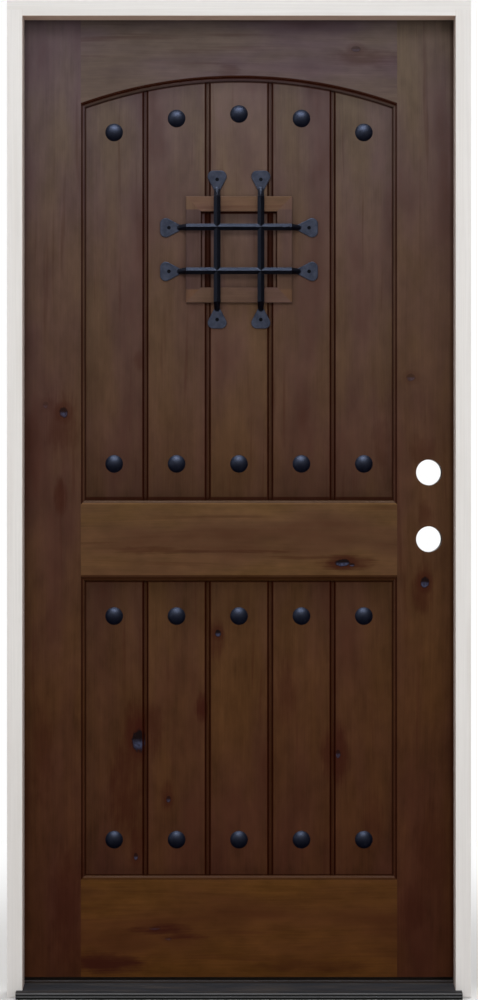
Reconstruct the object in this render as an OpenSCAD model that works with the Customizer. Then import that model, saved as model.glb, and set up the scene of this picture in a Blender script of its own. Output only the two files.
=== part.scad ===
// Prehung front door: a stained plank door with an arched top rail, rows of clavos,
// a small speakeasy door behind a forged grille, and its primed frame with sill and seals.
// X runs to the right as seen from outside, -Y is outside, Z is up.
// The origin is at the middle of the sill, on the floor, halfway through the frame's depth.

/* [Door leaf] */
// Width of the leaf
door_w = 914.4; // [812.8:0.1:1066.8]
// Height of the leaf
door_h = 2006.6; // [1950:0.1:2100]
// Thickness of the leaf
door_t = 44.45; // [42:0.05:50]
// Width of each stile's flat face
stile_w = 127; // [115:0.5:145]
// Height of the bottom rail's flat face
bottom_rail_h = 203.2; // [160:0.1:240]
// Height of the lock rail's lower arris above the foot of the leaf
lock_rail_z = 835; // [800:1:860]
// Height of the lock rail's flat face
lock_rail_h = 152.4; // [120:0.1:180]
// Height of the top rail at the crown of its arch
crown_h = 126.8; // [110:0.1:150]
// Rise of the arch from its springing to its crown
arch_rise = 57.5; // [35:0.5:80]

/* [Moulding and planks] */
// Step from the flat face down to the quarter round
quirk = 2.5; // [1:0.1:4]
// Radius of the quarter round that borders each panel
round_r = 8.5; // [6:0.1:10]
// Depth of the groove that holds the planks
groove_d = 12; // [10:0.1:15]
// Slack between a plank and its groove, on each side
groove_slack = 0.2; // [0.1:0.05:0.4]
// How far the planks reach into the groove
tuck = 10; // [7:0.1:11]
// Distance between plank joints
plank_pitch = 130.6; // [115:0.1:138]
// Width of the flat floor of the channel at a plank joint
channel_floor = 5.4; // [3:0.1:8]
// Width of each sloping side of that channel
channel_side = 2.4; // [1:0.1:4]
// Depth of that channel
channel_d = 3.6; // [2:0.1:5]
// Thickness of a plank's tongue
tongue_t = 6; // [5:0.1:8]
// Length of a plank's tongue
tongue_l = 7; // [5:0.1:10]
// Gap between neighbouring planks
plank_gap = 0.3; // [0.1:0.05:0.6]
// Radius of the dowels between rails and stiles
dowel_r = 6.35; // [5:0.05:8]
// Length of those dowels
dowel_l = 70; // [50:1:75]

/* [Clavos] */
// Radius of a clavo's dome
clavo_r = 18.5; // [14:0.1:20]
// Height of a clavo's dome
clavo_h = 10.5; // [7:0.1:13]
// Radius of a clavo's shank
clavo_shank_r = 2.5; // [2:0.1:3]
// Length of a clavo's shank
clavo_shank_l = 14; // [10:0.5:18]
// Distance of the top row below the arch
clavo_drop = 76; // [60:1:90]
// Distance of the second row above the lock rail
clavo_above_lock = 84.5; // [50:0.5:110]
// Distance of the third row below the lock rail
clavo_below_lock = 81.5; // [50:0.5:110]
// Distance of the lowest row above the bottom rail
clavo_above_bottom = 82.5; // [50:0.5:110]

/* [Lock bores] */
// Distance from the leaf's edge to the bores' centres
backset = 60.325; // [60.325, 69.85]
// Radius of the through bores
bore_r = 26.99; // [25:0.01:27.5]
// Radius of the bores in the leaf's edge
edge_bore_r = 12.7; // [11:0.1:12.7]
// Radius of the strikes' bores in the jamb
strike_bore_r = 11.1; // [9.5:0.1:12]
// Height of the lower bore above the foot of the leaf
latch_z = 914.4; // [890:0.1:930]
// Distance between the two bores
bore_spacing = 139.7; // [120:0.1:150]
// Height of a strike plate's recess
strike_h = 57.15; // [50:0.05:70]
// Width of a strike plate's recess
strike_w = 28.6; // [26:0.1:30]
// Depth of a strike plate's recess
strike_t = 1.6; // [1:0.1:2.5]

/* [Speakeasy] */
// Place of the speakeasy's centre between the lock rail and the crown, as a share
peek_place = 0.5968; // [0.5:0.0001:0.65]
// Clear width and height inside the trim
peek_open = 158.75; // [130:0.05:170]
// Width of the trim
trim_w = 31.75; // [25:0.05:36]
// Thickness of the trim
trim_t = 10.5; // [8:0.1:12]
// Bevel on the trim's edges
trim_bevel = 1.2; // [0.5:0.1:2]
// How far the trim covers the cut-out on each side
trim_lap = 7.9; // [6:0.1:10]
// Gap around the small door
wicket_gap = 2.8; // [2:0.1:4]
// Height of the small door's hinges
wicket_hinge_h = 38; // [28:0.5:45]
// Distance of each of those hinges from the centre
wicket_hinge_z = 50; // [40:0.5:55]
// Width of one hinge leaf, from the pin
wicket_leaf_w = 13; // [9:0.1:14]
// Thickness of that leaf
wicket_leaf_t = 1.5; // [1:0.1:1.8]
// Radius of that hinge's knuckles
wicket_knuckle_r = 2.5; // [2.2:0.05:2.8]
// Radius of that hinge's pin
wicket_pin_r = 1.2; // [1:0.05:1.4]
// Radius of the bolt's rod
rod_r = 3; // [2.5:0.1:3.5]
// Length of the bolt's rod
rod_l = 50; // [46:0.5:54]
// Travel of the bolt
bolt_travel = 12; // [9:0.5:14]
// How far the shot bolt reaches into its keeper
bolt_hold = 5.6; // [4:0.1:8]
// Width of each guide that holds the rod
guide_w = 8; // [6:0.1:9]
// Wall of the guides and of the keeper round the rod
guide_wall = 2; // [1.5:0.1:3]
// Thickness of the bolt's base plate
bolt_plate_t = 1.6; // [1:0.1:2]
// Height of that plate
bolt_plate_h = 22; // [18:0.5:26]
// Width of the keeper
keeper_w = 10; // [8:0.5:12]
// Height of each of the keeper's feet
keeper_foot = 8; // [6:0.5:10]
// Radius of the bolt's knob
knob_r = 4.5; // [3.5:0.1:5.5]
// Distance of the knob from the rod
knob_out = 12; // [9:0.5:16]

/* [Grille] */
// Side of the square bar, which is set on edge
bar_w = 10; // [8:0.1:11]
// Distance of each bar from the centre
bar_spread = 45.7; // [35:0.1:55]
// Distance from the planks to the middle of a bar
bar_stand = 21; // [20:0.1:26]
// Distance from the centre to the end of a foot
grille_reach = 165; // [160:0.5:175]
// Slope of a bar's neck
neck_angle = 60; // [50:1:65]
// Distance of that neck inside the trim's outer edge
neck_inset = 1.2; // [0:0.1:3]
// Thickness of a foot
foot_t = 4.5; // [3.5:0.1:6]
// Width of a foot at its end
foot_w = 40; // [34:0.5:44]
// Radius of a foot's corners
foot_corner = 12; // [6:0.1:14]
// Bevel on a foot's upper edge
foot_bevel = 0.9; // [0.4:0.1:1.5]
// Radius of a grille nail's head
nail_head_r = 3.8; // [3:0.1:4.5]
// Radius of a grille nail's shank
nail_r = 2; // [1.5:0.1:2.2]
// Length of a grille nail
nail_l = 20; // [16:0.5:22]
// Distance from a foot's end to its nail
nail_inset = 18.5; // [16:0.5:24]

/* [Door hinges] */
// Height of a hinge
hinge_h = 101.6; // [88.9:0.1:114.3]
// Distance from the head of the leaf to the top hinge
hinge_top = 177.8; // [120:0.1:220]
// Distance from the foot of the leaf to the bottom hinge
hinge_foot = 279.4; // [200:0.1:320]
// Width of a hinge leaf in the wood
hinge_leaf_d = 33; // [28:0.5:36]
// Thickness of a hinge leaf
hinge_leaf_t = 2.5; // [2:0.1:3]
// Radius of a hinge leaf's corners
hinge_corner = 15.9; // [6:0.1:15.9]
// Radius of the knuckles
knuckle_r = 5.8; // [5.2:0.1:6]
// Radius of the pins
pin_r = 3.15; // [2.5:0.05:3.5]
// Height of a pin's head
pin_head_h = 4; // [3:0.1:5]
// Height of a pin's button at its foot
pin_foot_h = 3; // [2:0.1:4]
// Distance of the pins from the inside face
pin_out = 6.4; // [6.2:0.1:8]
// Gap between neighbouring knuckles
knuckle_gap = 0.3; // [0.2:0.05:0.5]
// Slack of a hinge leaf in its mortise
leaf_slack = 0.1; // [0.05:0.05:0.3]
// Radial running clearance around pins and rods
running = 0.05; // [0.03:0.01:0.08]

/* [Screws] */
// Radius of a wood screw's head
screw_head_r = 4; // [3.5:0.1:4.4]
// Height of a wood screw's head
screw_head_h = 2.1; // [1.8:0.1:2.4]
// Radius of a wood screw's shank
screw_r = 2; // [1.5:0.1:2.2]
// Length of the hinge screws in the leaf
door_screw_l = 28; // [20:1:35]
// Length of the hinge screws in the jamb
jamb_screw_l = 16; // [12:0.5:17]
// Length of the screws that join the frame
frame_screw_l = 55; // [45:1:65]
// Radius of a wood screw's tip
screw_tip_r = 0.5; // [0.3:0.1:1]
// Radial slack of screws, nails and dowels in their holes
hole_slack = 0.05; // [0.02:0.01:0.1]

/* [Frame] */
// Depth of the frame
jamb_d = 115.9; // [112:0.1:130]
// Thickness of the frame behind the leaf
leg_t = 19.05; // [18:0.05:25]
// Thickness of the stop that stands on it
stop_t = 12.7; // [11:0.1:15]
// Gap beside the leaf
side_gap = 3.175; // [3:0.005:3.6]
// Gap above the leaf
top_gap = 3.175; // [2.5:0.005:4]
// Space for the seal between the stop and the leaf
seal_space = 9.5; // [8:0.1:12]
// Width of the seal's bulb
seal_w = 11.6; // [10:0.1:12]
// Width of the slot that holds the seal
kerf_w = 3; // [2.5:0.1:3.5]
// Depth of that slot
kerf_d = 10; // [8:0.1:12]
// Small clearance of soft and sliding pieces
clear = 0.3; // [0.2:0.05:0.5]
// Thickness of the corner pads
pad_t = 2.4; // [1.5:0.1:2.6]
// Height of the corner pads
pad_h = 45; // [30:1:60]
// Distance of the corner pads from the leaf's faces
pad_inset = 5; // [3:0.5:8]

/* [Sill] */
// How far the sill's nose stands out from the frame
nose_out = 27; // [15:0.5:40]
// Height of the nose
nose_h = 12.7; // [11:0.1:14]
// Height of the deck at the leaf
deck_h = 19; // [17:0.1:21]
// Thickness of the deck's metal
deck_t = 1.6; // [1.2:0.1:2]
// Height of the ribs on the nose and the deck
rib = 1; // [0.6:0.1:1.4]
// Width of those ribs
rib_w = 1.6; // [1:0.1:2.5]
// Distance between the deck's ribs
rib_pitch = 5; // [3:0.1:8]
// Height of the adjustable riser's top above the floor
riser_top = 25; // [23.5:0.1:27]
// Width of the riser
riser_w = 35; // [30:0.5:36]
// Distance of the riser from the sill's inside edge
riser_back = 8; // [6:0.5:8]
// Bevel on the riser's upper arrises
riser_ease = 2; // [1:0.1:3]
// Height of the riser's underside above the channel's floor
riser_lift = 3; // [1:0.1:5]
// Height of the channel's floor, which the riser stands in
channel_z = 8; // [6:0.1:9]
// Slack between the sill and each jamb
sill_slack = 0.2; // [0.1:0.05:0.5]
// Space between the riser and the foot of the leaf
under_gap = 6.75; // [5:0.05:9]
// Thickness of the sweep's plate
sweep_t = 2; // [1.5:0.1:3]
// Thickness of the sweep's fins
fin_t = 1.6; // [1.2:0.1:2]
// Distance of the sweep from the leaf's faces and edges
sweep_inset = 5; // [3:0.5:8]
// Thickness of the sweep's barbs
barb_t = 1.8; // [1.4:0.1:2.4]
// Depth of the sweep's barbs in the leaf
barb_d = 7; // [5:0.1:9]

/* [Hidden] */
$fn = 48;
arc_fn = 360;

y_in = jamb_d / 2;
y_out = y_in - door_t;
y_mid = y_in - door_t / 2;
recess = quirk + round_r;
panel_t = door_t - 2 * recess;
plank_in = y_in - recess;
plank_out = y_out + recess;
groove_t = panel_t + 2 * groove_slack;

leaf_z = riser_top + under_gap;
frame_in_w = door_w + 2 * side_gap;
frame_w = frame_in_w + 2 * leg_t;
head_z = leaf_z + door_h + top_gap;
frame_h = head_z + leg_t;
stop_y = y_out - seal_space;
stop_d = stop_y + jamb_d / 2;

face_x = door_w / 2 - stile_w;
mould_x = face_x - round_r;
lock_z = leaf_z + lock_rail_z;
lock_top = lock_z + lock_rail_h;
bottom_top = leaf_z + bottom_rail_h;
crown_z = leaf_z + door_h - crown_h;
arch_r = (face_x * face_x + arch_rise * arch_rise) / (2 * arch_rise);
arch_z = crown_z - arch_r;
spring_z = arch_z + sqrt(pow(arch_r - round_r, 2) - face_x * face_x);

peek_cz = lock_top + peek_place * (crown_z - lock_top);
cut_w = peek_open + 2 * trim_lap;
trim_out = peek_open + 2 * trim_w;
wicket_w = cut_w - 2 * wicket_gap;
bar_mid_y = plank_out - bar_stand;
bar_d = bar_w * sqrt(2) / 2;
// Place where a bar starts to bend, clear of the trim's edge
neck_s = trim_out / 2 - neck_inset;
// Middle of the foot's narrow end, where the neck comes down
neck_end = neck_s + bar_stand / tan(neck_angle) + bar_d / 2;
nail_s = grille_reach - nail_inset;

wicket_pin_x = -(cut_w - wicket_gap) / 2;
wicket_pin_y = plank_in + wicket_knuckle_r;
rod_y_axis = plank_in + bolt_plate_t + rod_r + 1.6;
keeper_x = cut_w / 2 + 1.6;
rod_x1 = keeper_x + bolt_hold - bolt_travel;
rod_x0 = rod_x1 - rod_l;
guide_out_x = rod_x1 - 2;
guide_in_x = rod_x0 + 1;

pin_x = -(door_w + side_gap) / 2;
pin_y = y_in + pin_out;
hinge_zs = [
    leaf_z + door_h - hinge_top - hinge_h / 2,
    leaf_z + (door_h - hinge_top + hinge_foot) / 2,
    leaf_z + hinge_foot + hinge_h / 2
];
bore_x = door_w / 2 - backset;
bore_zs = [leaf_z + latch_z, leaf_z + latch_z + bore_spacing];

nose_y = -jamb_d / 2 - nose_out;
riser_y = y_in - riser_back - riser_w / 2;
channel_y0 = riser_y - riser_w / 2 - clear;
channel_y1 = riser_y + riser_w / 2 + clear;
deck_slope = atan2(deck_h - nose_h, channel_y0 - nose_y);
riser_xs = [-0.41, -0.16, 0.16, 0.41] * frame_in_w;
frame_screw_ys = [-0.33, 0, 0.33] * jamb_d;
sill_screw_ys = [-jamb_d / 3, channel_y0 - 3 * screw_head_r];
sill_screw_z = 1.6 * screw_head_r;

plank_xs = [for (i = [-2 : 2]) i * plank_pitch];

// Extra length of a cut past the face that it leaves through
over = 1;
// What a plank groove takes off the flat face of a rail or stile
groove_in = groove_d - round_r;
sweep_barb_ys = [y_mid - door_t / 6, y_mid + door_t / 6];

// Centres of the dowels in one rail, as heights
function dowel_zs(low, high, count) =
    [for (i = [0 : count - 1]) low + (high - low) * (i + 0.5) / count];
top_dowels = dowel_zs(crown_z + groove_in, leaf_z + door_h, 2);
lock_dowels = dowel_zs(lock_z, lock_top, 2);
bottom_dowels = dowel_zs(leaf_z + 2 * barb_d, bottom_top, 3);
all_dowels = concat(top_dowels, lock_dowels, bottom_dowels);

// Places of the clavos: two rows on the upper planks and two on the lower ones
top_row_r = arch_r - clavo_drop;
clavo_places = concat(
    [for (x = plank_xs) [x, arch_z + sqrt(top_row_r * top_row_r - x * x)]],
    [for (x = plank_xs) [x, lock_top + clavo_above_lock]],
    [for (x = plank_xs) [x, lock_z - clavo_below_lock]],
    [for (x = plank_xs) [x, bottom_top + clavo_above_bottom]]
);
clavo_sphere = (clavo_r * clavo_r + clavo_h * clavo_h) / (2 * clavo_h);

// Heights and depths of the four screws in a hinge leaf
screw_places = [
    [-0.37 * hinge_h, -0.66 * hinge_leaf_d], [-0.14 * hinge_h, -0.34 * hinge_leaf_d],
    [0.14 * hinge_h, -0.34 * hinge_leaf_d], [0.37 * hinge_h, -0.66 * hinge_leaf_d]
];

colour_wood = [0.24, 0.15, 0.1];
colour_plank = [0.28, 0.18, 0.13];
colour_primer = [0.86, 0.85, 0.82];
colour_seal = [0.16, 0.11, 0.09];
colour_iron = [0.1, 0.11, 0.13];
colour_bronze = [0.16, 0.14, 0.13];
colour_hinge = [0.2, 0.17, 0.15];
colour_dowel = [0.72, 0.58, 0.4];
colour_sill = [0.35, 0.3, 0.26];
colour_riser = [0.14, 0.11, 0.09];

// Extrudes a section drawn with its first axis along Y and its second along Z
module along_x(x0, x1) {
    translate([x0, 0, 0]) rotate([90, 0, 90]) linear_extrude(height = x1 - x0) children();
}

// Round bar along X
module bar_x(x0, x1, y, z, r) {
    translate([x0, y, z]) rotate([0, 90, 0]) cylinder(h = x1 - x0, r = r);
}

// Round bar along Y
module bar_y(x, y0, y1, z, r) {
    translate([x, y0, z]) rotate([-90, 0, 0]) cylinder(h = y1 - y0, r = r);
}

// Countersunk wood screw that starts at the origin and runs along +Z, or with slack its hole
module screw(length, slack = 0) {
    cylinder(h = screw_head_h, r1 = screw_head_r + slack, r2 = screw_r + slack);
    cylinder(h = length - screw_r, r = screw_r + slack);
    translate([0, 0, length - screw_r])
        cylinder(h = screw_r, r1 = screw_r + slack, r2 = screw_tip_r);
    if (slack > 0) translate([0, 0, -over]) cylinder(h = over, r = screw_head_r + slack);
}

// What the moulding takes off one arris: U runs away from the flat face, V into the wood
module moulding_cut() {
    difference() {
        translate([0, -over]) square([round_r + over, recess + over]);
        translate([0, recess]) circle(r = round_r, $fn = 48);
    }
}

// Both mouldings and the plank groove of one edge, centred on the thickness
module edge_cut() {
    translate([0, -door_t / 2]) moulding_cut();
    translate([0, door_t / 2]) mirror([0, 1]) moulding_cut();
    translate([-groove_in, -groove_t / 2]) square([groove_d + over, groove_t]);
}

// Slots in the foot of the leaf that take the sweep's barbs
module sweep_slots() {
    for (y = sweep_barb_ys)
        translate([-door_w / 2 - over, y - barb_t / 2 - clear, leaf_z - over])
            cube([door_w + 2 * over, barb_t + 2 * clear, barb_d + over + clear]);
}

// Dowels of both sides, with slack and some room at each end for their holes
module dowels(zs, slack = 0, end = 0) {
    for (z = zs, side = [-1, 1])
        bar_x(side * face_x - dowel_l / 2 - end, side * face_x + dowel_l / 2 + end, y_mid, z,
              dowel_r + slack);
}

module dowel_holes(zs) {
    dowels(zs, hole_slack, clear);
}

// Stile of the hinge side, without its mortises and holes
module stile_blank() {
    translate([0, 0, leaf_z]) linear_extrude(height = door_h)
        difference() {
            translate([-door_w / 2, y_out]) square([stile_w + round_r, door_t]);
            translate([-face_x, y_mid]) edge_cut();
        }
}

// What the stiles leave of a rail
module between_stiles() {
    difference() {
        children();
        stile_blank();
        mirror([1, 0, 0]) stile_blank();
    }
}

// Straight rail with its moulded upper edge, and a moulded lower edge where one is asked for
module straight_rail(low, high, lower_edge) {
    drop = lower_edge ? round_r : 0;
    between_stiles() {
        along_x(-face_x, face_x) difference() {
            translate([y_out, low - drop]) square([door_t, high - low + round_r + drop]);
            translate([y_mid, high]) mirror([1, -1]) edge_cut();
            if (lower_edge) translate([y_mid, low]) mirror([0, 1]) mirror([1, -1]) edge_cut();
        }
        rail_tenons(low + (lower_edge ? groove_in : 0), high - groove_in);
    }
}

// Stub tenons of a rail, which run a little way into the stiles' grooves
module rail_tenons(low, high) {
    reach = groove_in - clear;
    for (side = [-1, 1])
        translate([side * face_x - reach, y_mid - panel_t / 2, low])
            cube([2 * reach, panel_t, high - low]);
}

// Stile with its dowel holes and the slots in its foot; faces of the hinge side
module stile() {
    difference() {
        stile_blank();
        dowel_holes(all_dowels);
        sweep_slots();
    }
}

module hinge_stile() {
    color(colour_wood) difference() {
        stile();
        for (z = hinge_zs) {
            translate([-door_w / 2 - over, 0, z]) hinge_plate(over + hinge_leaf_t, leaf_slack);
            door_hinge_screws(z, hole_slack);
        }
    }
}

module latch_stile() {
    color(colour_wood) difference() {
        mirror([1, 0, 0]) stile();
        for (z = bore_zs) {
            bar_y(bore_x, y_out - over, y_in + over, z, bore_r);
            bar_x(bore_x, door_w / 2 + over, y_mid, z, edge_bore_r);
        }
    }
}

// Cuts the arched moulding and plank groove, or their like, out of the top rail
module arch_ring() {
    for (side = [0, 1])
        translate([0, y_mid, arch_z]) rotate([90, 0, 0]) mirror([0, 0, side])
            rotate_extrude($fn = arc_fn) translate([arch_r, -door_t / 2]) mirror([1, 0])
                moulding_cut();
    arch_disc(arch_r - round_r + groove_d, groove_t);
}

// Round disc across the leaf, centred on the arch's centre
module arch_disc(r, thickness) {
    translate([0, y_mid + thickness / 2, arch_z]) rotate([90, 0, 0])
        cylinder(h = thickness, r = r, $fn = arc_fn);
}

module top_rail() {
    top = leaf_z + door_h;
    color(colour_wood) difference() {
        between_stiles() {
            difference() {
                translate([-face_x, y_out, spring_z]) cube([2 * face_x, door_t, top - spring_z]);
                arch_disc(arch_r - round_r, door_t + 2 * over);
                arch_ring();
            }
            rail_tenons(crown_z, top);
        }
        dowel_holes(top_dowels);
    }
}

module lock_rail() {
    color(colour_wood) difference() {
        straight_rail(lock_z, lock_top, true);
        dowel_holes(lock_dowels);
    }
}

module bottom_rail() {
    color(colour_wood) difference() {
        straight_rail(leaf_z, bottom_top, false);
        dowel_holes(bottom_dowels);
        sweep_slots();
    }
}

module rail_dowels() {
    color(colour_dowel) dowels(all_dowels);
}

// Half of the channel at a plank joint, cut from both faces; the joint lies at U = 0
module joint_cut() {
    for (side = [-1, 1])
        translate([0, side * panel_t / 2]) scale([1, side])
            polygon([
                [-channel_floor / 2 - channel_side, over], [-channel_floor / 2 - channel_side, 0],
                [-channel_floor / 2, -channel_d], [over, -channel_d], [over, over]
            ]);
}

// Section of one plank; the outer two run into the stiles' grooves
module plank_section(i) {
    first = i == -2;
    last = i == 2;
    low = first ? -(mould_x + tuck) : (i - 0.5) * plank_pitch + plank_gap / 2;
    high = last ? mould_x + tuck : (i + 0.5) * plank_pitch - plank_gap / 2;
    translate([0, y_mid]) difference() {
        union() {
            translate([low, -panel_t / 2]) square([high - low, panel_t]);
            if (!last)
                translate([high - over, -tongue_t / 2]) square([over + tongue_l, tongue_t]);
        }
        if (!first) {
            translate([low - over, -tongue_t / 2 - groove_slack])
                square([over + tongue_l + plank_gap, tongue_t + 2 * groove_slack]);
            translate([low - plank_gap / 2, 0]) mirror([1, 0]) joint_cut();
        }
        if (!last) translate([high + plank_gap / 2, 0]) joint_cut();
    }
}

// Planks with holes for what is nailed to them
module plank(i, low, high) {
    color(colour_plank) difference() {
        translate([0, 0, low]) linear_extrude(height = high - low) plank_section(i);
        clavo_shanks(hole_slack);
        grille_nail_set(hole_slack);
    }
}

module upper_plank(i) {
    color(colour_plank) difference() {
        intersection() {
            plank(i, lock_top + round_r - tuck, crown_z + tuck);
            arch_disc(arch_r - round_r + tuck, door_t);
        }
        cut_out();
    }
}

module lower_plank(i) {
    plank(i, bottom_top + round_r - tuck, lock_z - round_r + tuck);
}

// Square hole in the planks for the small door
module cut_out() {
    translate([-cut_w / 2, y_out, peek_cz - cut_w / 2]) cube([cut_w, door_t, cut_w]);
}

module upper_plank_3_top() {
    intersection() {
        upper_plank(0);
        translate([-plank_pitch, y_out, peek_cz]) cube([2 * plank_pitch, door_t, door_h]);
    }
}

module upper_plank_3_bottom() {
    difference() {
        upper_plank(0);
        translate([-plank_pitch, y_out, peek_cz]) cube([2 * plank_pitch, door_t, door_h]);
    }
}

// Sweep under the leaf: a plate with two barbs above and three fins below
module door_sweep() {
    low = riser_top + clear + fin_t / 2;
    color(colour_seal) along_x(-door_w / 2 + sweep_inset, door_w / 2 - sweep_inset) {
        translate([y_out + sweep_inset, leaf_z - sweep_t])
            square([door_t - 2 * sweep_inset, sweep_t]);
        for (y = sweep_barb_ys) {
            translate([y - barb_t / 2, leaf_z - over]) square([barb_t, barb_d + over]);
            for (step = [0.35, 0.75])
                translate([y, leaf_z + step * barb_d])
                    polygon([[-barb_t / 2 - clear, 0], [barb_t / 2 + clear, 0], [0, barb_t]]);
        }
        for (i = [-1 : 1])
            translate([y_mid + i * door_t / 4, low]) {
                translate([-fin_t / 2, 0]) square([fin_t, leaf_z - sweep_t / 2 - low]);
                circle(r = fin_t / 2);
            }
    }
}

// Outline of a hinge leaf, extruded along X from the plane X = 0, with its middle at Z = 0
module hinge_plate(thickness, slack = 0, reach = 0) {
    r = hinge_corner + slack;
    h = hinge_h + 2 * slack;
    w = hinge_leaf_d + slack;
    translate([0, y_in, 0]) along_x(0, thickness) {
        translate([-w, -h / 2 + r]) square([w + reach, h - 2 * r]);
        translate([-w + r, -h / 2]) square([w - r + reach, h]);
        for (side = [-1, 1]) translate([-w + r, side * (h / 2 - r)]) circle(r = r);
    }
}

// Knuckles of a hinge, from the list of their places counted from the foot
module knuckles(places, r, gap) {
    pitch = hinge_h / 5;
    for (i = places)
        translate([pin_x, pin_y, -hinge_h / 2 + i * pitch + gap / 2])
            cylinder(h = pitch - gap, r = r);
}

module frame_leaf(z) {
    color(colour_hinge) difference() {
        translate([0, 0, z]) difference() {
            union() {
                translate([-frame_in_w / 2 - hinge_leaf_t, 0, 0])
                    hinge_plate(hinge_leaf_t, 0, pin_out);
                knuckles([0, 2, 4], knuckle_r, knuckle_gap);
            }
            knuckles([1, 3], knuckle_r + clear, 0);
            translate([pin_x, pin_y, -hinge_h]) cylinder(h = 2 * hinge_h, r = pin_r + running);
        }
        frame_hinge_screws(z, hole_slack);
    }
}

module door_leaf(z) {
    color(colour_hinge) difference() {
        translate([0, 0, z]) difference() {
            union() {
                translate([-door_w / 2, 0, 0]) hinge_plate(hinge_leaf_t, 0, pin_out);
                knuckles([1, 3], knuckle_r, knuckle_gap);
            }
            knuckles([0, 2, 4], knuckle_r + clear, 0);
            translate([pin_x, pin_y, -hinge_h]) cylinder(h = 2 * hinge_h, r = pin_r + running);
        }
        door_hinge_screws(z, hole_slack);
    }
}

// Pin with a button head on top and a smaller button at its foot
module hinge_pin(z) {
    color(colour_hinge) translate([pin_x, pin_y, z]) {
        translate([0, 0, -hinge_h / 2 - pin_foot_h / 2])
            cylinder(h = hinge_h + (pin_head_h + pin_foot_h) / 2, r = pin_r);
        translate([0, 0, hinge_h / 2]) cylinder(h = 0.6 * pin_head_h, r = knuckle_r);
        translate([0, 0, hinge_h / 2 + 0.6 * pin_head_h])
            cylinder(h = 0.4 * pin_head_h, r1 = knuckle_r, r2 = 0.65 * knuckle_r);
        translate([0, 0, -hinge_h / 2 - pin_foot_h])
            cylinder(h = pin_foot_h, r = 0.85 * knuckle_r);
    }
}

module door_hinge_screws(z, slack = 0) {
    for (p = screw_places)
        translate([-door_w / 2, y_in + p[1], z + p[0]]) rotate([0, 90, 0])
            screw(door_screw_l, slack);
}

module frame_hinge_screws(z, slack = 0) {
    for (p = screw_places)
        translate([-frame_in_w / 2, y_in + p[1], z + p[0]]) rotate([0, -90, 0])
            screw(jamb_screw_l, slack);
}

module hinge_door_screws() {
    color(colour_hinge) for (z = hinge_zs) door_hinge_screws(z);
}

module hinge_frame_screws() {
    color(colour_hinge) for (z = hinge_zs) frame_hinge_screws(z);
}

module clavo_shanks(slack = 0) {
    for (p = clavo_places)
        bar_y(p[0], plank_out - over, plank_out + clavo_shank_l, p[1], clavo_shank_r + slack);
}

module clavos() {
    color(colour_iron) for (p = clavo_places) translate([p[0], plank_out, p[1]]) {
        rotate([90, 0, 0]) intersection() {
            translate([0, 0, clavo_h - clavo_sphere]) sphere(r = clavo_sphere);
            cylinder(h = clavo_h + over, r = clavo_r + over);
        }
        rotate([-90, 0, 0]) cylinder(h = clavo_shank_l, r = clavo_shank_r);
    }
}

// Section of the trim: U from its outer edge inwards, V out from the planks
module trim_section() {
    polygon([
        [0, 0], [0, trim_t - trim_bevel], [trim_bevel, trim_t],
        [trim_w - trim_bevel, trim_t], [trim_w, trim_t - trim_bevel], [trim_w, 0]
    ]);
}

// One mitred length of trim along the lower side of the opening
module trim_piece(turn) {
    half = trim_out / 2;
    color(colour_plank) translate([0, plank_out, peek_cz]) rotate([0, turn, 0])
        intersection() {
            translate([0, 0, -half]) rotate([90, 0, 90])
                linear_extrude(height = trim_out, center = true)
                    mirror([1, -1]) trim_section_out();
            rotate([90, 0, 0]) linear_extrude(height = 4 * trim_t, center = true)
                polygon([[-half, -half], [half, -half], [0, 0]]);
        }
}

// The same section turned to face outside
module trim_section_out() {
    mirror([0, 1]) trim_section();
}

module trim_bottom() { trim_piece(0); }
module trim_left() { trim_piece(90); }
module trim_top() { trim_piece(180); }
module trim_right() { trim_piece(270); }

// Section of a grille bar, set on edge
module bar_section() {
    rotate(45) square(bar_w, center = true);
}

// The straight stretch of a bar
module straight_bar() {
    translate([-neck_s, 0, bar_stand]) rotate([90, 0, 90])
        linear_extrude(height = 2 * neck_s) bar_section();
}

// Neck of a bar, forged from its square section down into its foot
module neck() {
    hull() {
        translate([neck_s - 2, 0, bar_stand]) rotate([90, 0, 90])
            linear_extrude(height = 1.9) scale(0.98) bar_section();
        translate([neck_end, 0, 0])
            cylinder(h = foot_t - foot_bevel / 2, r = bar_d * 0.8, $fn = 32);
    }
}

// Fan-shaped foot with bevelled edges, with the bar's middle line along X
module foot() {
    module stud(x, y, r) {
        translate([x, y, 0]) cylinder(h = foot_t - foot_bevel, r = r, $fn = 32);
        translate([x, y, 0]) cylinder(h = foot_t, r = r - foot_bevel, $fn = 32);
    }
    hull() {
        stud(neck_end, 0, bar_d * 0.9);
        for (side = [-1, 1])
            stud(grille_reach - foot_corner, side * (foot_w / 2 - foot_corner), foot_corner);
    }
}

// A whole bar along X with both necks and feet, standing on the plane Z = 0
module bar() {
    straight_bar();
    for (side = [0, 1]) mirror([side, 0, 0]) {
        neck();
        foot();
    }
}

// Holes for the nails in a bar's two feet
module bar_nail_holes(slack) {
    for (side = [-1, 1]) translate([side * nail_s, 0, foot_t]) mirror([0, 0, 1])
        nail(slack);
}

// Nail with a countersunk head, from its head's face along +Z, or with slack its hole
module nail(slack = 0) {
    cylinder(h = nail_head_r - nail_r, r1 = nail_head_r + slack, r2 = nail_r + slack);
    cylinder(h = nail_l, r = nail_r + slack);
    if (slack > 0) translate([0, 0, -over]) cylinder(h = over, r = nail_head_r + slack);
}

// Places a bar, which lies along X on the plane Z = 0, on the outside of the planks
module on_planks() {
    translate([0, plank_out, peek_cz]) rotate([90, 0, 0]) children();
}

module crossbar_at(offset) {
    on_planks() translate([0, offset, 0]) children();
}

module upright_at(offset) {
    on_planks() translate([offset, 0, 0]) rotate([0, 0, 90]) children();
}

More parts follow.
